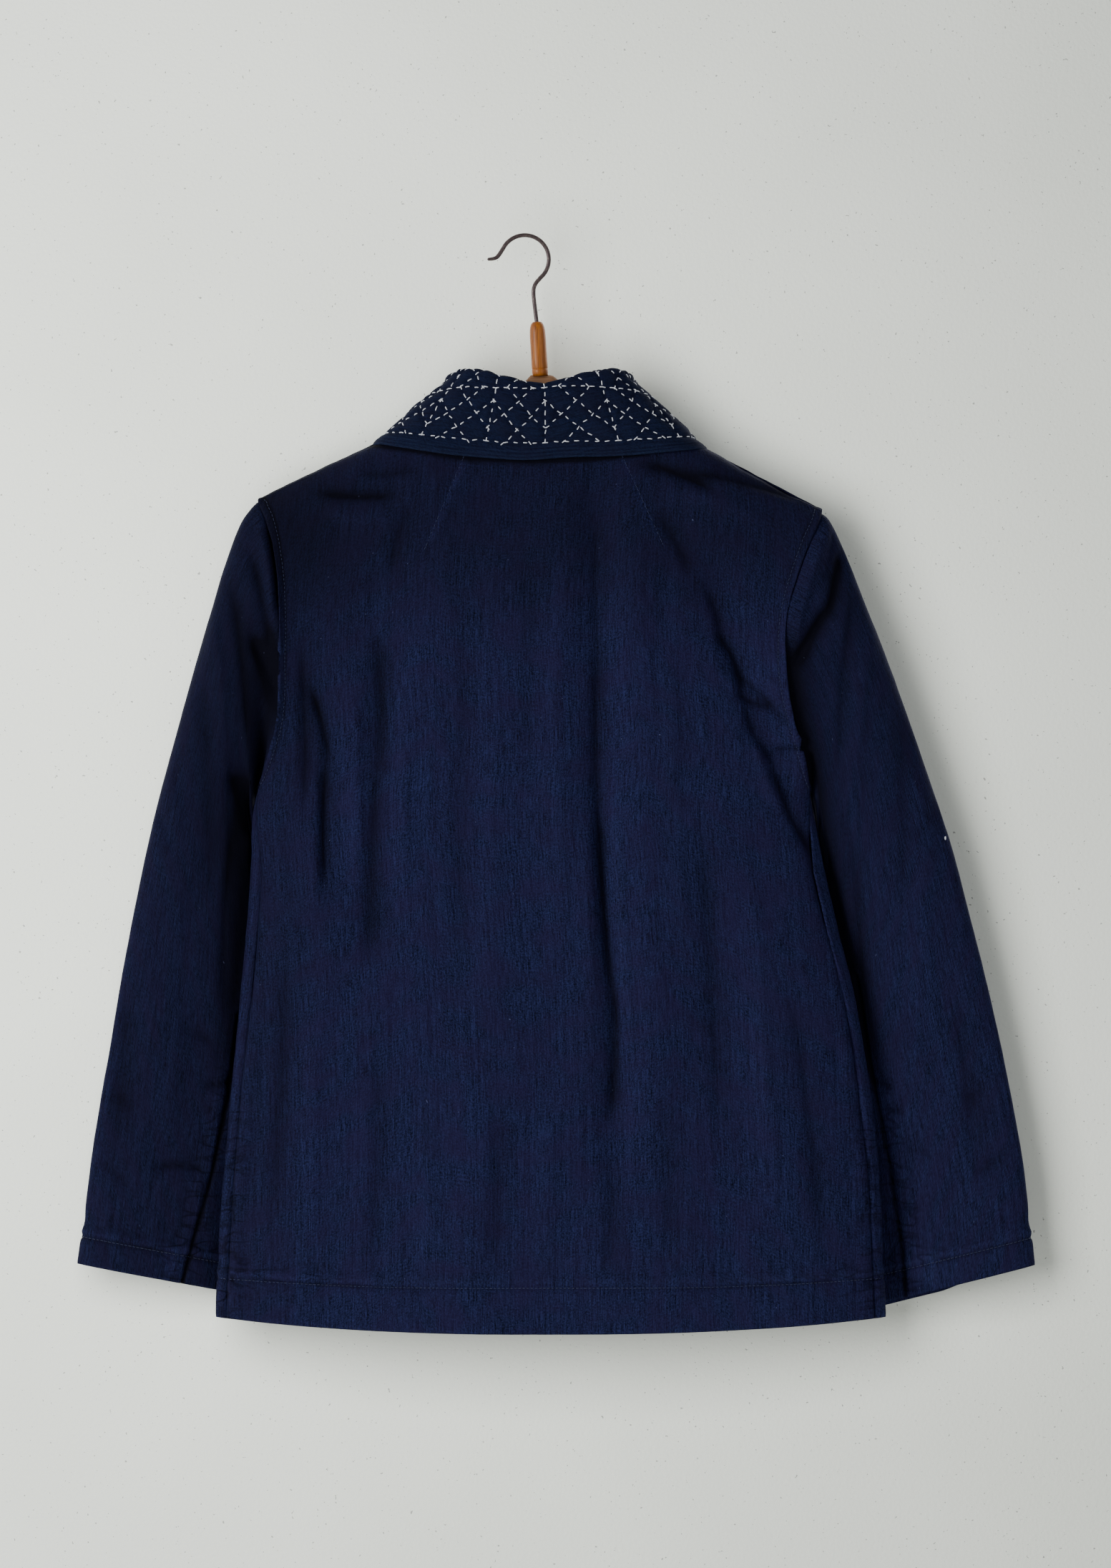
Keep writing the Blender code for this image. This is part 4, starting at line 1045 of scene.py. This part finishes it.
def in_mm(tree, where=None):
    """Places on a piece in millimetres, along its own axes unless others are given."""
    where = where or node(tree, "ShaderNodeTexCoord", out="Object")
    return node(tree, "ShaderNodeVectorMath", {0: where, 3: 1 / MM}, operation="SCALE")


def speckle(tree, where, scale, detail=1.0, rough=0.5):
    """Uneven spots of their own size along each axis, given as how many go in a millimetre."""
    scale = scale if isinstance(scale, tuple) else (scale,) * 3
    moved = node(tree, "ShaderNodeVectorMath", {0: where, 1: scale}, operation="MULTIPLY")
    return node(tree, "ShaderNodeTexNoise",
                {"Vector": moved, "Scale": 1.0, "Detail": detail, "Roughness": rough})


def finish(tree, shader, colour, height=None, strength=0.0, depth=0.0):
    """Gives a shader its colour, and a bump as deep as so many millimetres."""
    tree.links.new(colour, shader.inputs["Base Color"])
    if height is not None:
        bumped = node(tree, "ShaderNodeBump", {"Height": height, "Strength": strength,
                                               "Distance": depth * MM})
        tree.links.new(bumped, shader.inputs["Normal"])


WEAVE = 0.7             # from thread to thread, coarser than the real cloth's, which wouldn't show


def indigo_cloth(name, deep, dark, blue, violet, faded):
    """Plain-woven cotton, dyed in the yarn: thin slubs run down it, and the dye is uneven."""
    material, tree, shader = new_material(name, Roughness=0.88, Specular_IOR_Level=0.07)
    place = in_mm(tree, node(tree, "ShaderNodeUVMap", uv_map="grain"))
    yarns = speckle(tree, place, (1.7, 0.08, 1.0), 2.0)
    long_yarns = speckle(tree, place, (0.6, 0.012, 1.0))
    pepper = speckle(tree, place, (0.72, 0.62, 1.0), 4.0, 0.85)
    bands = speckle(tree, place, (0.06, 0.004, 1.0), 2.0)
    patches = speckle(tree, place, (0.030, 0.045, 1.0), 2.0)
    tone = blend(tree, (yarns, 0.28), (long_yarns, 0.12), (pepper, 0.60))
    hue = blend(tree, (bands, 0.35), (patches, 0.65))
    colour = tint(tree, tone, 0.42, 0.60, dark, blue)
    colour = tint(tree, hue, 0.42, 0.62, colour, violet, 0.5)
    # Where the cloth is rubbed its yarns are pale, and painted shade turns it to the deep colour in
    # folds and other shaded places.
    wear_and_shade_value = node(tree, "ShaderNodeAttribute", out="Fac", attribute_name="wear_and_shade")
    rubbed = node(tree, "ShaderNodeMapRange", {0: wear_and_shade_value}, clamp=True)
    colour = tint(tree, tone, 0.32, 0.62, colour, faded, rubbed)
    sunk = node(tree, "ShaderNodeMapRange", {0: wear_and_shade_value, 1: 0.0, 2: -1.0}, clamp=True)
    # Short creases, mostly level, where a seam or a hem draws the cloth up: bumped, and darkened
    # with painted shade.
    drawn = node(tree, "ShaderNodeAttribute", out="Fac", attribute_name="gathers")
    where = node(tree, "ShaderNodeTexCoord", out="Object")
    wrinkle = speckle(tree, where, (38.0, 38.0, 115.0), 1.0, 0.4)
    crest = node(tree, "ShaderNodeMath", {0: wrinkle, 1: 0.5}, operation="SUBTRACT")
    crest = node(tree, "ShaderNodeMath", {0: crest}, operation="ABSOLUTE")
    pinch = node(tree, "ShaderNodeMapRange", {0: crest, 1: 0.06, 2: 0.0, 4: drawn}, clamp=True)
    shade = node(tree, "ShaderNodeMath", {0: pinch, 1: 0.42}, operation="MULTIPLY")
    sunk = node(tree, "ShaderNodeMath", {0: sunk, 1: shade}, operation="ADD", use_clamp=True)
    colour = node(tree, "ShaderNodeMix", {0: sunk, 6: colour, 7: deep}, 2, data_type="RGBA")
    lint = speckle(tree, place, (0.42, 0.42, 1.0), 0.0)
    colour = tint(tree, lint, 0.90, 0.93, colour, hex_colour("#7f88b8"), 0.3)
    threads = []
    for way in node(tree, "ShaderNodeSeparateXYZ", {0: place}, None)[:2]:
        turned = node(tree, "ShaderNodeMath", {0: way, 1: 2 * math.pi / WEAVE}, operation="MULTIPLY")
        threads.append(node(tree, "ShaderNodeMath", {0: turned}, operation="SINE"))
    over = node(tree, "ShaderNodeMath", dict(enumerate(threads)), operation="MULTIPLY")
    crumple = speckle(tree, place, (0.11, 0.085, 1.0), 3.0, 0.6)
    height = blend(tree, (over, 0.05), (yarns, 0.22), (crumple, 0.6), (pepper, 0.30), (pinch, -0.95))
    finish(tree, shader, colour, height, 0.8, 1.0)
    return material


def thread_material(name, dark, light, roughness):
    """Twisted cotton thread, a little uneven along its length."""
    material, tree, shader = new_material(name, Roughness=roughness, Specular_IOR_Level=0.3,
                                          Sheen_Weight=0.2)
    fibres = speckle(tree, in_mm(tree), 2.2, 2.0)
    finish(tree, shader, tint(tree, fibres, 0.35, 0.65, dark, light), fibres, 0.5, 0.3)
    return material


def wood_material(name, dark, middle, light, along, roughness, coat):
    """Close-grained hardwood; along is the axis that its grain follows."""
    material, tree, shader = new_material(name, Roughness=roughness, Specular_IOR_Level=0.4,
                                          Coat_Weight=coat, Coat_Roughness=0.18)
    place = in_mm(tree)
    fine = tuple(0.05 if k == along else 0.9 for k in range(3))
    broad = tuple(0.02 if k == along else 0.22 for k in range(3))
    lines, bands = speckle(tree, place, fine, 3.0), speckle(tree, place, broad, 2.0)
    colour = tint(tree, bands, 0.35, 0.65, middle, light)
    colour = tint(tree, lines, 0.52, 0.72, colour, dark)
    finish(tree, shader, colour, lines, 0.3, 0.2)
    return material


def wire_material(name, dark, light):
    """Steel wire under dark brown lacquer, rubbed here and there."""
    material, tree, shader = new_material(name, Roughness=0.45, Metallic=0.4, Coat_Weight=0.1,
                                          Coat_Roughness=0.3)
    rubbed = speckle(tree, in_mm(tree), 0.5, 3.0)
    finish(tree, shader, tint(tree, rubbed, 0.5, 0.75, dark, light))
    return material


def hexes(text):
    return [hex_colour(part) for part in text.split()]


# The first colour of each cloth is the deep colour that painted shade turns it to.
body_cloth = indigo_cloth("indigo_cotton_cloth",
                          *hexes("#080815 #060819 #272d58 #20193b #2d335a"))
collar_cloth = indigo_cloth("quilted_indigo_cotton",
                            *hexes("#080a14 #0a0d1f #161e3c #14142a #222d48"))
white_thread = thread_material("white_cotton_thread", *hexes("#c9cedb #eef0f6"), 0.75)
blue_thread = thread_material("blue_cotton_thread", *hexes("#141c3a #222e58"), 0.8)
varnished = wood_material("varnished_hardwood", *hexes("#5e3006 #934e08 #ac6413"), 2, 0.52, 0.05)
plain_wood = wood_material("sanded_hardwood", *hexes("#6d4a2e #93694a #a98260"), 0, 0.6, 0.0)
wire = wire_material("lacquered_wire", *hexes("#46383a #665a56"))

# ---- stitches

def stitch_group():
    """A node group that sews a line: it lays one short arched stitch at each step along it."""
    group = bpy.data.node_groups.new("Running stitch", "GeometryNodeTree")
    for name, kind in (("Line", "Geometry"), ("Pitch", "Float"), ("Length", "Float"),
                       ("Thread", "Float"), ("Wander", "Float"), ("Seed", "Int"),
                       ("Material", "Material")):
        group.interface.new_socket(name, in_out="INPUT", socket_type="NodeSocket" + kind)
    group.interface.new_socket("Stitches", in_out="OUTPUT", socket_type="NodeSocketGeometry")

    given = node(group, "NodeGroupInput", out=None)
    curve = node(group, "GeometryNodeMeshToCurve", {0: given["Line"]})
    points = node(group, "GeometryNodeCurveToPoints", {"Curve": curve, "Length": given["Pitch"]},
                  None, mode="LENGTH")
    up = node(group, "GeometryNodeInputNamedAttribute", {"Name": "up"}, data_type="FLOAT_VECTOR")
    facing_up = node(group, "FunctionNodeAlignRotationToVector", {"Vector": up}, axis="Z")
    laid = node(group, "FunctionNodeAlignRotationToVector",
                {"Rotation": facing_up, "Vector": points["Tangent"]}, axis="X", pivot_axis="Z")
    # Each stitch lies a little askew and is a little longer or shorter than the next.
    turn = node(group, "FunctionNodeRandomValue", {"Seed": given["Seed"]}, 1, data_type="FLOAT")
    slant = node(group, "ShaderNodeMath", {0: turn, 1: 0.5}, operation="SUBTRACT")
    slant = node(group, "ShaderNodeMath", {0: slant, 1: given["Wander"]}, operation="MULTIPLY")
    slant_turn = node(group, "FunctionNodeAxisAngleToRotation", {"Axis": (0, 0, 1), "Angle": slant})
    placed = node(group, "FunctionNodeRotateRotation", {"Rotation": laid, "Rotate By": slant_turn},
                  rotation_space="LOCAL")
    later = node(group, "ShaderNodeMath", {0: given["Seed"], 1: 5.0}, operation="ADD")
    size = node(group, "FunctionNodeRandomValue", {"Seed": later, 2: 0.84, 3: 1.14}, 1,
                data_type="FLOAT")
    scale = node(group, "ShaderNodeCombineXYZ", {0: size, 1: 1.0, 2: 1.0})
    half = node(group, "ShaderNodeMath", {0: given["Length"], 1: 0.5}, operation="MULTIPLY")
    back = node(group, "ShaderNodeMath", {0: half, 1: -1.0}, operation="MULTIPLY")
    sunk, crown, radius = [
        node(group, "ShaderNodeMath", {0: given["Thread"], 1: share}, operation="MULTIPLY")
        for share in (-0.55, 0.75, 0.5)]
    start, middle, end = [node(group, "ShaderNodeCombineXYZ", place)
                          for place in ({0: back, 2: sunk}, {2: crown}, {0: half, 2: sunk})]
    arch = node(group, "GeometryNodeCurveQuadraticBezier",
                {"Resolution": 5, "Start": start, "Middle": middle, "End": end})
    ring = node(group, "GeometryNodeCurvePrimitiveCircle", {"Resolution": 6, "Radius": radius})
    shape = node(group, "GeometryNodeCurveToMesh", {0: arch, 1: ring, "Fill Caps": True})
    laid_out = node(group, "GeometryNodeInstanceOnPoints",
                    {"Points": points["Points"], "Instance": shape, "Rotation": placed,
                     "Scale": scale})
    real = node(group, "GeometryNodeRealizeInstances", {0: laid_out})
    soft = node(group, "GeometryNodeSetShadeSmooth", {0: real})
    painted = node(group, "GeometryNodeSetMaterial", {0: soft, "Material": given["Material"]})
    node(group, "NodeGroupOutput", {0: painted}, None)
    return group


sewing = stitch_group()


def sew(name, lines, material, pitch, length, thread, wander, seed):
    """Stitches along lines; a line is its points and the cloth's normals there, in mm."""
    points, ups, joins = [], [], []
    for line, normals in lines:
        joins += [(len(points) + k, len(points) + k + 1) for k in range(len(line) - 1)]
        points += [tuple(float(c) * MM for c in p) for p in line]
        ups += [tuple(float(c) for c in n) for n in normals]
    mesh = new_mesh(name + "_lines", points, joins, [])
    up = mesh.attributes.new("up", "FLOAT_VECTOR", "POINT")
    up.data.foreach_set("vector", np.array(ups, np.float32).reshape(-1))
    piece = add_piece(name, mesh)
    needle = piece.modifiers.new("Sewing", "NODES")
    needle.node_group = sewing
    values = {"Pitch": pitch * MM, "Length": length * MM, "Thread": thread * MM, "Wander": wander,
              "Seed": seed, "Material": material}
    for item in sewing.interface.items_tree:
        if item.in_out == "INPUT" and item.name in values:
            needle[item.identifier] = values[item.name]
    graph = bpy.context.evaluated_depsgraph_get()
    sewn = bpy.data.meshes.new_from_object(piece.evaluated_get(graph))
    piece.modifiers.clear()
    piece.data = sewn
    bpy.data.meshes.remove(mesh)
    return piece


def on_grid(sheet, i, j):
    """The outer side of a cloth at a place between its grid's points, and the normal there."""
    points, normal, wall = sheet
    i0, j0 = min(int(i), points.shape[0] - 2), min(int(j), points.shape[1] - 2)
    si, sj = i - i0, j - j0
    found, n = [mix(*[mix(t[row, j0], t[row, j0 + 1], sj) for row in (i0, i0 + 1)], si)
                for t in (points, normal)]
    n = n / np.linalg.norm(n)
    return found + n * wall, n


def down_line(sheet, rows, inset, from_end=False):
    """A line of stitches down a piece, so far in from its first or last column."""
    line = []
    for i in rows:
        run = run_along(sheet[0][i][::-1] if from_end else sheet[0][i])
        j = float(np.interp(inset, run, np.arange(len(run))))
        line.append(on_grid(sheet, i, len(run) - 1 - j if from_end else j))
    return tuple(zip(*line))


def across_line(sheet, up_at, first=1):
    """A line of stitches across a piece, so far up from its last row."""
    line, (rows, columns) = [], sheet[0].shape[:2]
    for j in range(first, columns - first, 2):
        run = run_along(sheet[0][::-1, j])
        up = up_at(sheet[0][-1, j, 0])
        line.append(on_grid(sheet, rows - 1 - float(np.interp(up, run, np.arange(len(run)))), j))
    return tuple(zip(*line))


# ---- the jacket

THREAD_LIFT = 0.1       # of the blue thread over the cloth
WHITE_LIFT = 0.22
DART_POINTS = 40
LINE_STEP = 1.5         # between the points of a white line
LINE_ENDS = 0.015       # the share of it left bare at each end

grid = back_grid()
back, points, normal = cloth("jacket_back", grid, True, back_relief(grid), CLOTH_WALL, 1.0,
                             body_cloth)
sheet = points, normal, CLOTH_WALL
arm_rows = range(2, ARMHOLE_ROWS - 1)
tonal_lines = [down_line(sheet, arm_rows, TOP_INSETS["left"]),
               down_line(sheet, arm_rows, TOP_INSETS["right"], True), across_line(sheet, hem_band)]
for x0, z0, x1, z1 in DARTS:
    line, normals = [], []
    for t in np.linspace(0, 1, DART_POINTS):
        x, z = mix(x0, x1, t), mix(z0, z1, t)
        near = np.argmin((points[..., 0] - x) ** 2 + (points[..., 2] - z) ** 2)
        i, j = divmod(int(near), points.shape[1])
        line.append(np.array([x, points[i, j, 1] - CLOTH_WALL - THREAD_LIFT, z]))
        normals.append(normal[i, j])
    tonal_lines.append((line, normals))

fronts, sleeves, sleeve_skin = {}, {}, {}
for name in SIDES:
    grid = front_grid(name)
    fronts[name], *skin = cloth(f"jacket_front_{name}", grid, name == "right",
                                front_relief(grid, name), CLOTH_WALL, 1.0, body_cloth)
    sheet = (*skin, CLOTH_WALL)
    tonal_lines += [down_line(sheet, arm_rows, TOP_INSET),
                    down_line(sheet, range(3, len(grid) - 1), EDGE_INSET, True),
                    across_line(sheet, hem_band)]
for name in SIDES:
    grid = sleeve_grid(name)
    outward = bool(np.sum(grid_normals(grid, True) * (grid - grid.mean(axis=1, keepdims=True))) > 0)
    sleeves[name], *skin = cloth(f"jacket_sleeve_{name}", grid, outward, sleeve_relief(grid, name),
                                 CLOTH_WALL, -1.0, body_cloth, closed=True)
    sleeve_skin[name] = skin
    sheet = (*[joined(part) for part in skin], THREAD_LIFT)
    tonal_lines.append(across_line(sheet, lambda x: CUFF_BAND, 0))

grid = collar_grid()
if grid_normals(grid, False)[COLLAR_ROWS // 2, COLLAR_COLUMNS * 7 // 8, 1] >= 0:
    grid = grid[::-1]
lattice = lattice_lines()
plain = Collar(grid)
collar, points, _ = cloth("jacket_collar", grid, True, collar_relief(plain, lattice),
                          COLLAR_CLOTH_WALL, -1.0, collar_cloth)
quilted = Collar(points)
quilted.along, quilted.across = plain.along, plain.across
white_lines = []
for (u0, v0), (u1, v1) in lattice:
    found = []
    count = max(3, int(math.hypot(u1 - u0, v1 - v0) / LINE_STEP))
    for t in np.linspace(LINE_ENDS, 1 - LINE_ENDS, count):
        u, v = mix(u0, u1, t), mix(v0, v1, t)
        found.append(quilted.place(u + wobble((u, v), 41.0, 0.8), v + wobble((u, v), 43.0, 0.8),
                                   WHITE_LIFT))
    # A line goes on only where the collar does.
    for on_collar, part in groupby(found, lambda place: place is not None):
        part = list(part)
        if on_collar and len(part) > 2:
            white_lines.append(tuple(zip(*part)))
white_stitches = sew("white_stitches", white_lines, white_thread, pitch=6.9, length=3.0,
                     thread=0.82, wander=0.35, seed=11)
tonal_stitches = sew("tonal_stitches", tonal_lines, blue_thread, pitch=3.1, length=2.3,
                     thread=0.42, wander=0.12, seed=17)

# ---- the hanger

def tube_rings(path, halves, count):
    """Rings round a path in the plane of the hanger; halves are its half sizes in it and out."""
    rings = []
    for k, (x, z) in enumerate(path):
        x0, z0 = path[max(k - 1, 0)]
        x1, z1 = path[min(k + 1, len(path) - 1)]
        run = Vector((x1 - x0, 0, z1 - z0)).normalized()
        rings.append(ring_round(Vector((x, 0, z)), Vector((-run.z, 0, run.x)),
                                *halves(k / (len(path) - 1)), count))
    return rings


def hook_path():
    """The middle of the hook's wire, from its free end round the bend and down."""
    first, last = [math.radians(turn) for turn in HOOK_TURNS]
    turns = [mix(first, last, k / 22) for k in range(23)]
    x, z = HOOK_MIDDLE
    bend = [(x + HOOK_BEND * math.cos(turn), z + HOOK_BEND * math.sin(turn)) for turn in turns]
    line = np.array(HOOK_END[::-1] + bend + HOOK_STEM)
    return [tuple(p) for p in evenly(line, run_along(line), HOOK_RINGS)]


def hook_halves(share):
    """The wire is round, but its free end is beaten a little flat and rounded off."""
    flat = max(0.0, 1 - share / 0.07)
    tip = math.sqrt(max(0.02, 1 - max(0.0, 1 - share / 0.009) ** 2))
    return WIRE_HALF * (1 - 0.28 * flat) * tip, WIRE_HALF * (1 + 0.12 * flat) * tip


hook = lofted("hanger_hook_wire", tube_rings(hook_path(), hook_halves, HOOK_SIDES), wire)

top, foot = Vector((NECK_TOP[0], 0, NECK_TOP[1])), Vector((NECK_FOOT[0], 0, NECK_FOOT[1]))
axis = (foot - top).normalized()
side = Vector((-axis.z, 0, axis.x))
length = (foot - top).length
# The turned neck, from inside the wire's hole to its foot: radius, and how far down.
NECK_PROFILE = [(1.55, 12.0), (1.6, 1.0), (1.75, 0.25), (2.3, 0.0), (3.1, 0.35), (3.9, 1.3),
                (4.5, 2.6), (4.95, 4.4), (5.25, 6.6), (5.42, 9.5), (5.5, 14.0), (5.45, 22.0),
                (5.5, 30.0), (5.5, length - 4.6), (5.35, length - 4.1), (5.2, length - 3.9),
                (5.35, length - 3.7), (5.5, length - 3.2), (5.5, length - 0.9),
                (5.3, length - 0.3), (5.2, length + 1.4)]
GRIP_STOUT = 1.11
NECK_SIDES = 40
rings = [ring_round(top + axis * down, side, radius * GRIP_STOUT, radius * GRIP_STOUT, NECK_SIDES)
         for radius, down in NECK_PROFILE]
neck = lofted("hanger_turned_neck", rings, varnished)

BAR_HALF = 184.0
BAR_TIP = 6.0           # the length over which each end thins
BAR_RINGS = 130
BAR_SIDES = 36
bar_below, bar_height = [curve_through(BAR[:, 0], BAR[:, k]) for k in (1, 2)]
rings = []
turns = [2 * math.pi * n / BAR_SIDES for n in range(BAR_SIDES)]
for out in np.linspace(-BAR_HALF, BAR_HALF, BAR_RINGS):
    height, x = float(bar_height(abs(out))), COLLAR_MIDDLE + out
    end = max(0.0, (abs(out) - BAR_HALF + BAR_TIP) / BAR_TIP)
    thick = BAR_THICK * (1 - 0.45 * end ** 2)
    crest = min(BAR_CREST, float(ridge(x)) - float(bar_below(abs(out))))
    rings.append([(x, math.cos(turn) * thick / 2, crest - height / 2 + math.sin(turn) * height / 2)
                  for turn in turns])
bar = lofted("hanger_wooden_bar", rings, plain_wood)

# A white fleck of lint hangs on the right sleeve's outer edge.
FLECK_AT = (320.5, -456.0)
FLECK_HALF = 0.7
FLECK = [(-1.3, 0.4), (-0.7, 0.9), (0.0, 1.1), (0.8, 0.8), (1.4, 0.3)]  # how far up, how wide
points, normal = [part[:, :SLEEVE_HALF] for part in sleeve_skin["right"]]
spot = np.argmin((points[..., 0] - FLECK_AT[0]) ** 2 + (points[..., 2] - FLECK_AT[1]) ** 2)
i, j = divmod(int(spot), SLEEVE_HALF)
spot, n = Vector(points[i, j]), Vector(normal[i, j])
side = n.cross(Vector((0, 0, 1))).normalized()
turns = [2 * math.pi * k / 10 for k in range(10)]
rings = [[tuple(spot + n * (FLECK_HALF * math.cos(turn))
                + side * (FLECK_HALF * math.sin(turn)) * wide + Vector((0, 0, up)))
          for turn in turns] for up, wide in FLECK]
lint = lofted("lint_fleck", rings, white_thread)

# ---- the set

def stage_material(name, paint, glow):
    """Matt paint, with a few dark specks and a faintly uneven skin. Its own faint glow fills the
    shadows. Seen from behind, and by lamps behind it, it isn't there."""
    material, tree, shader = new_material(name, Roughness=0.95, Specular_IOR_Level=0.1,
                                          Emission_Strength=glow)
    place = in_mm(tree)
    colour = tint(tree, speckle(tree, place, 0.004, 2.0), 0.3, 0.7, *hexes(paint))
    colour = tint(tree, speckle(tree, place, 0.42), 0.745, 0.775, colour, hex_colour("#6f706c"), 0.7)
    tree.links.new(colour, shader.inputs["Emission Color"])
    finish(tree, shader, colour, speckle(tree, place, 0.35, 2.0), 0.6, 0.6)
    behind = node(tree, "ShaderNodeNewGeometry", out="Backfacing")
    shadow = node(tree, "ShaderNodeLightPath", out="Is Shadow Ray")
    gone = node(tree, "ShaderNodeMath", {0: behind, 1: shadow}, operation="MAXIMUM")
    clear = node(tree, "ShaderNodeBsdfTransparent")
    both = node(tree, "ShaderNodeMixShader", {0: gone, 1: shader.outputs[0], 2: clear})
    tree.links.new(both, tree.nodes["Material Output"].inputs["Surface"])
    return material


def plane(name, corners, material):
    piece = add_piece(name, new_mesh(name, corners, [], [(0, 1, 2, 3)]), material)
    return piece


WALL_Y = 0.049
WALL_TOP = 1.6
FLOOR_Z = -1.75
WIDE = 3.2              # half of the wall and the floor
DEEP = 4.5              # half of the floor, front to back
wall = plane("wall", [(-WIDE, WALL_Y, FLOOR_Z), (WIDE, WALL_Y, FLOOR_Z), (WIDE, WALL_Y, WALL_TOP),
                      (-WIDE, WALL_Y, WALL_TOP)],
             stage_material("wall_paint", "#d8dcd3 #d0d4cb", 0.225))
floor = plane("floor", [(-WIDE, -DEEP, FLOOR_Z), (WIDE, -DEEP, FLOOR_Z), (WIDE, DEEP, FLOOR_Z),
                        (-WIDE, DEEP, FLOOR_Z)],
              stage_material("floor_paint", "#d8d9d5 #d2d3ce", 0.3))


def lamp(name, place, target, size, watts, lit, colour=(1.0, 1.0, 1.0)):
    """A soft square lamp that lights some objects only."""
    data = bpy.data.lights.new(name, "AREA")
    data.size = size
    data.energy = watts
    data.color = colour
    piece = add_piece(name, data)
    piece.location = place
    piece.rotation_euler = (Vector(target) - Vector(place)).to_track_quat("-Z", "Y").to_euler()
    chosen = bpy.data.collections.new(name + "_lights")
    for item in lit:
        chosen.objects.link(item)
    piece.light_linking.receiver_collection = chosen


middle = (0.02, 0.0, -0.42)
jacket = [back, *fronts.values(), *sleeves.values(), collar, white_stitches, tonal_stitches, hook,
          neck, bar, lint]
lamp("raking_window", (-4.4, -3.4, 0.0), middle, 2.0, 262.0, jacket, (1.0, 0.995, 0.98))
lamp("fill_front", (1.9, -2.6, 0.0), middle, 2.2, 24.0, jacket)
lamp("wall_window", (-0.72, -1.3, -0.33), (-0.72, 0.0, -0.33), 1.2, 56.0, [wall, floor])
lamp("back_key", (1.7, 2.2, 0.8), middle, 1.8, 60.0, jacket)
lamp("back_fill", (-1.7, 2.4, 0.0), middle, 2.0, 24.0, jacket)

world = bpy.data.worlds.new("studio")
bpy.context.scene.world = world
world.use_nodes = True
tree = world.node_tree
tree.nodes.clear()
path = node(tree, "ShaderNodeLightPath", out=None)
lit = node(tree, "ShaderNodeBackground", {"Color": (0.93, 0.95, 1.0, 1.0), "Strength": 0.25})
seen = node(tree, "ShaderNodeBackground", {"Color": hex_colour("#d4d5d1"), "Strength": 1.0})
direct = node(tree, "ShaderNodeMath", {0: path["Is Camera Ray"], 1: path["Is Transmission Ray"]},
              operation="MAXIMUM")
both = node(tree, "ShaderNodeMixShader", {0: direct, 1: lit, 2: seen})
node(tree, "ShaderNodeOutputWorld", {0: both}, None)

VIEW_MIDDLE = (0.0251, -0.4142)
FRAME_HEIGHT = 1.1837   # what the view takes in at the jacket's back
CAMERA_OFF = 9.025
BACK_OFF = 0.025
SENSOR = 36.0
data = bpy.data.cameras.new("camera")
data.sensor_width = SENSOR
data.lens = SENSOR * (CAMERA_OFF - BACK_OFF) / FRAME_HEIGHT
camera = add_piece("camera", data)
camera.location = (VIEW_MIDDLE[0], -CAMERA_OFF, VIEW_MIDDLE[1])
camera.rotation_euler = (math.pi / 2, 0.0, 0.0)
bpy.context.scene.camera = camera

# ---- what each piece is

PIECES = [
    (back, "indigo_cotton", ["back"]),
    (fronts["left"], "indigo_cotton", ["front_left"]),
    (fronts["right"], "indigo_cotton", ["front_right"]),
    (sleeves["left"], "indigo_cotton", ["sleeve_left_back", "sleeve_left_front"]),
    (sleeves["right"], "indigo_cotton", ["sleeve_right_back", "sleeve_right_front"]),
    (collar, "stitched_cotton", ["collar"]),
    (bar, "bare_wood", ["hanger_bar"]),
    (neck, "varnished_wood", ["hanger_neck"]),
    (hook, "dark_iron", ["hook"]),
    (white_stitches, "stitched_cotton", []),
    (tonal_stitches, "indigo_cotton", []),
    (lint, "stitched_cotton", []),
]
for piece, slot, nodes in PIECES:
    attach(piece, "root")
    if nodes:
        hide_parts(*nodes)
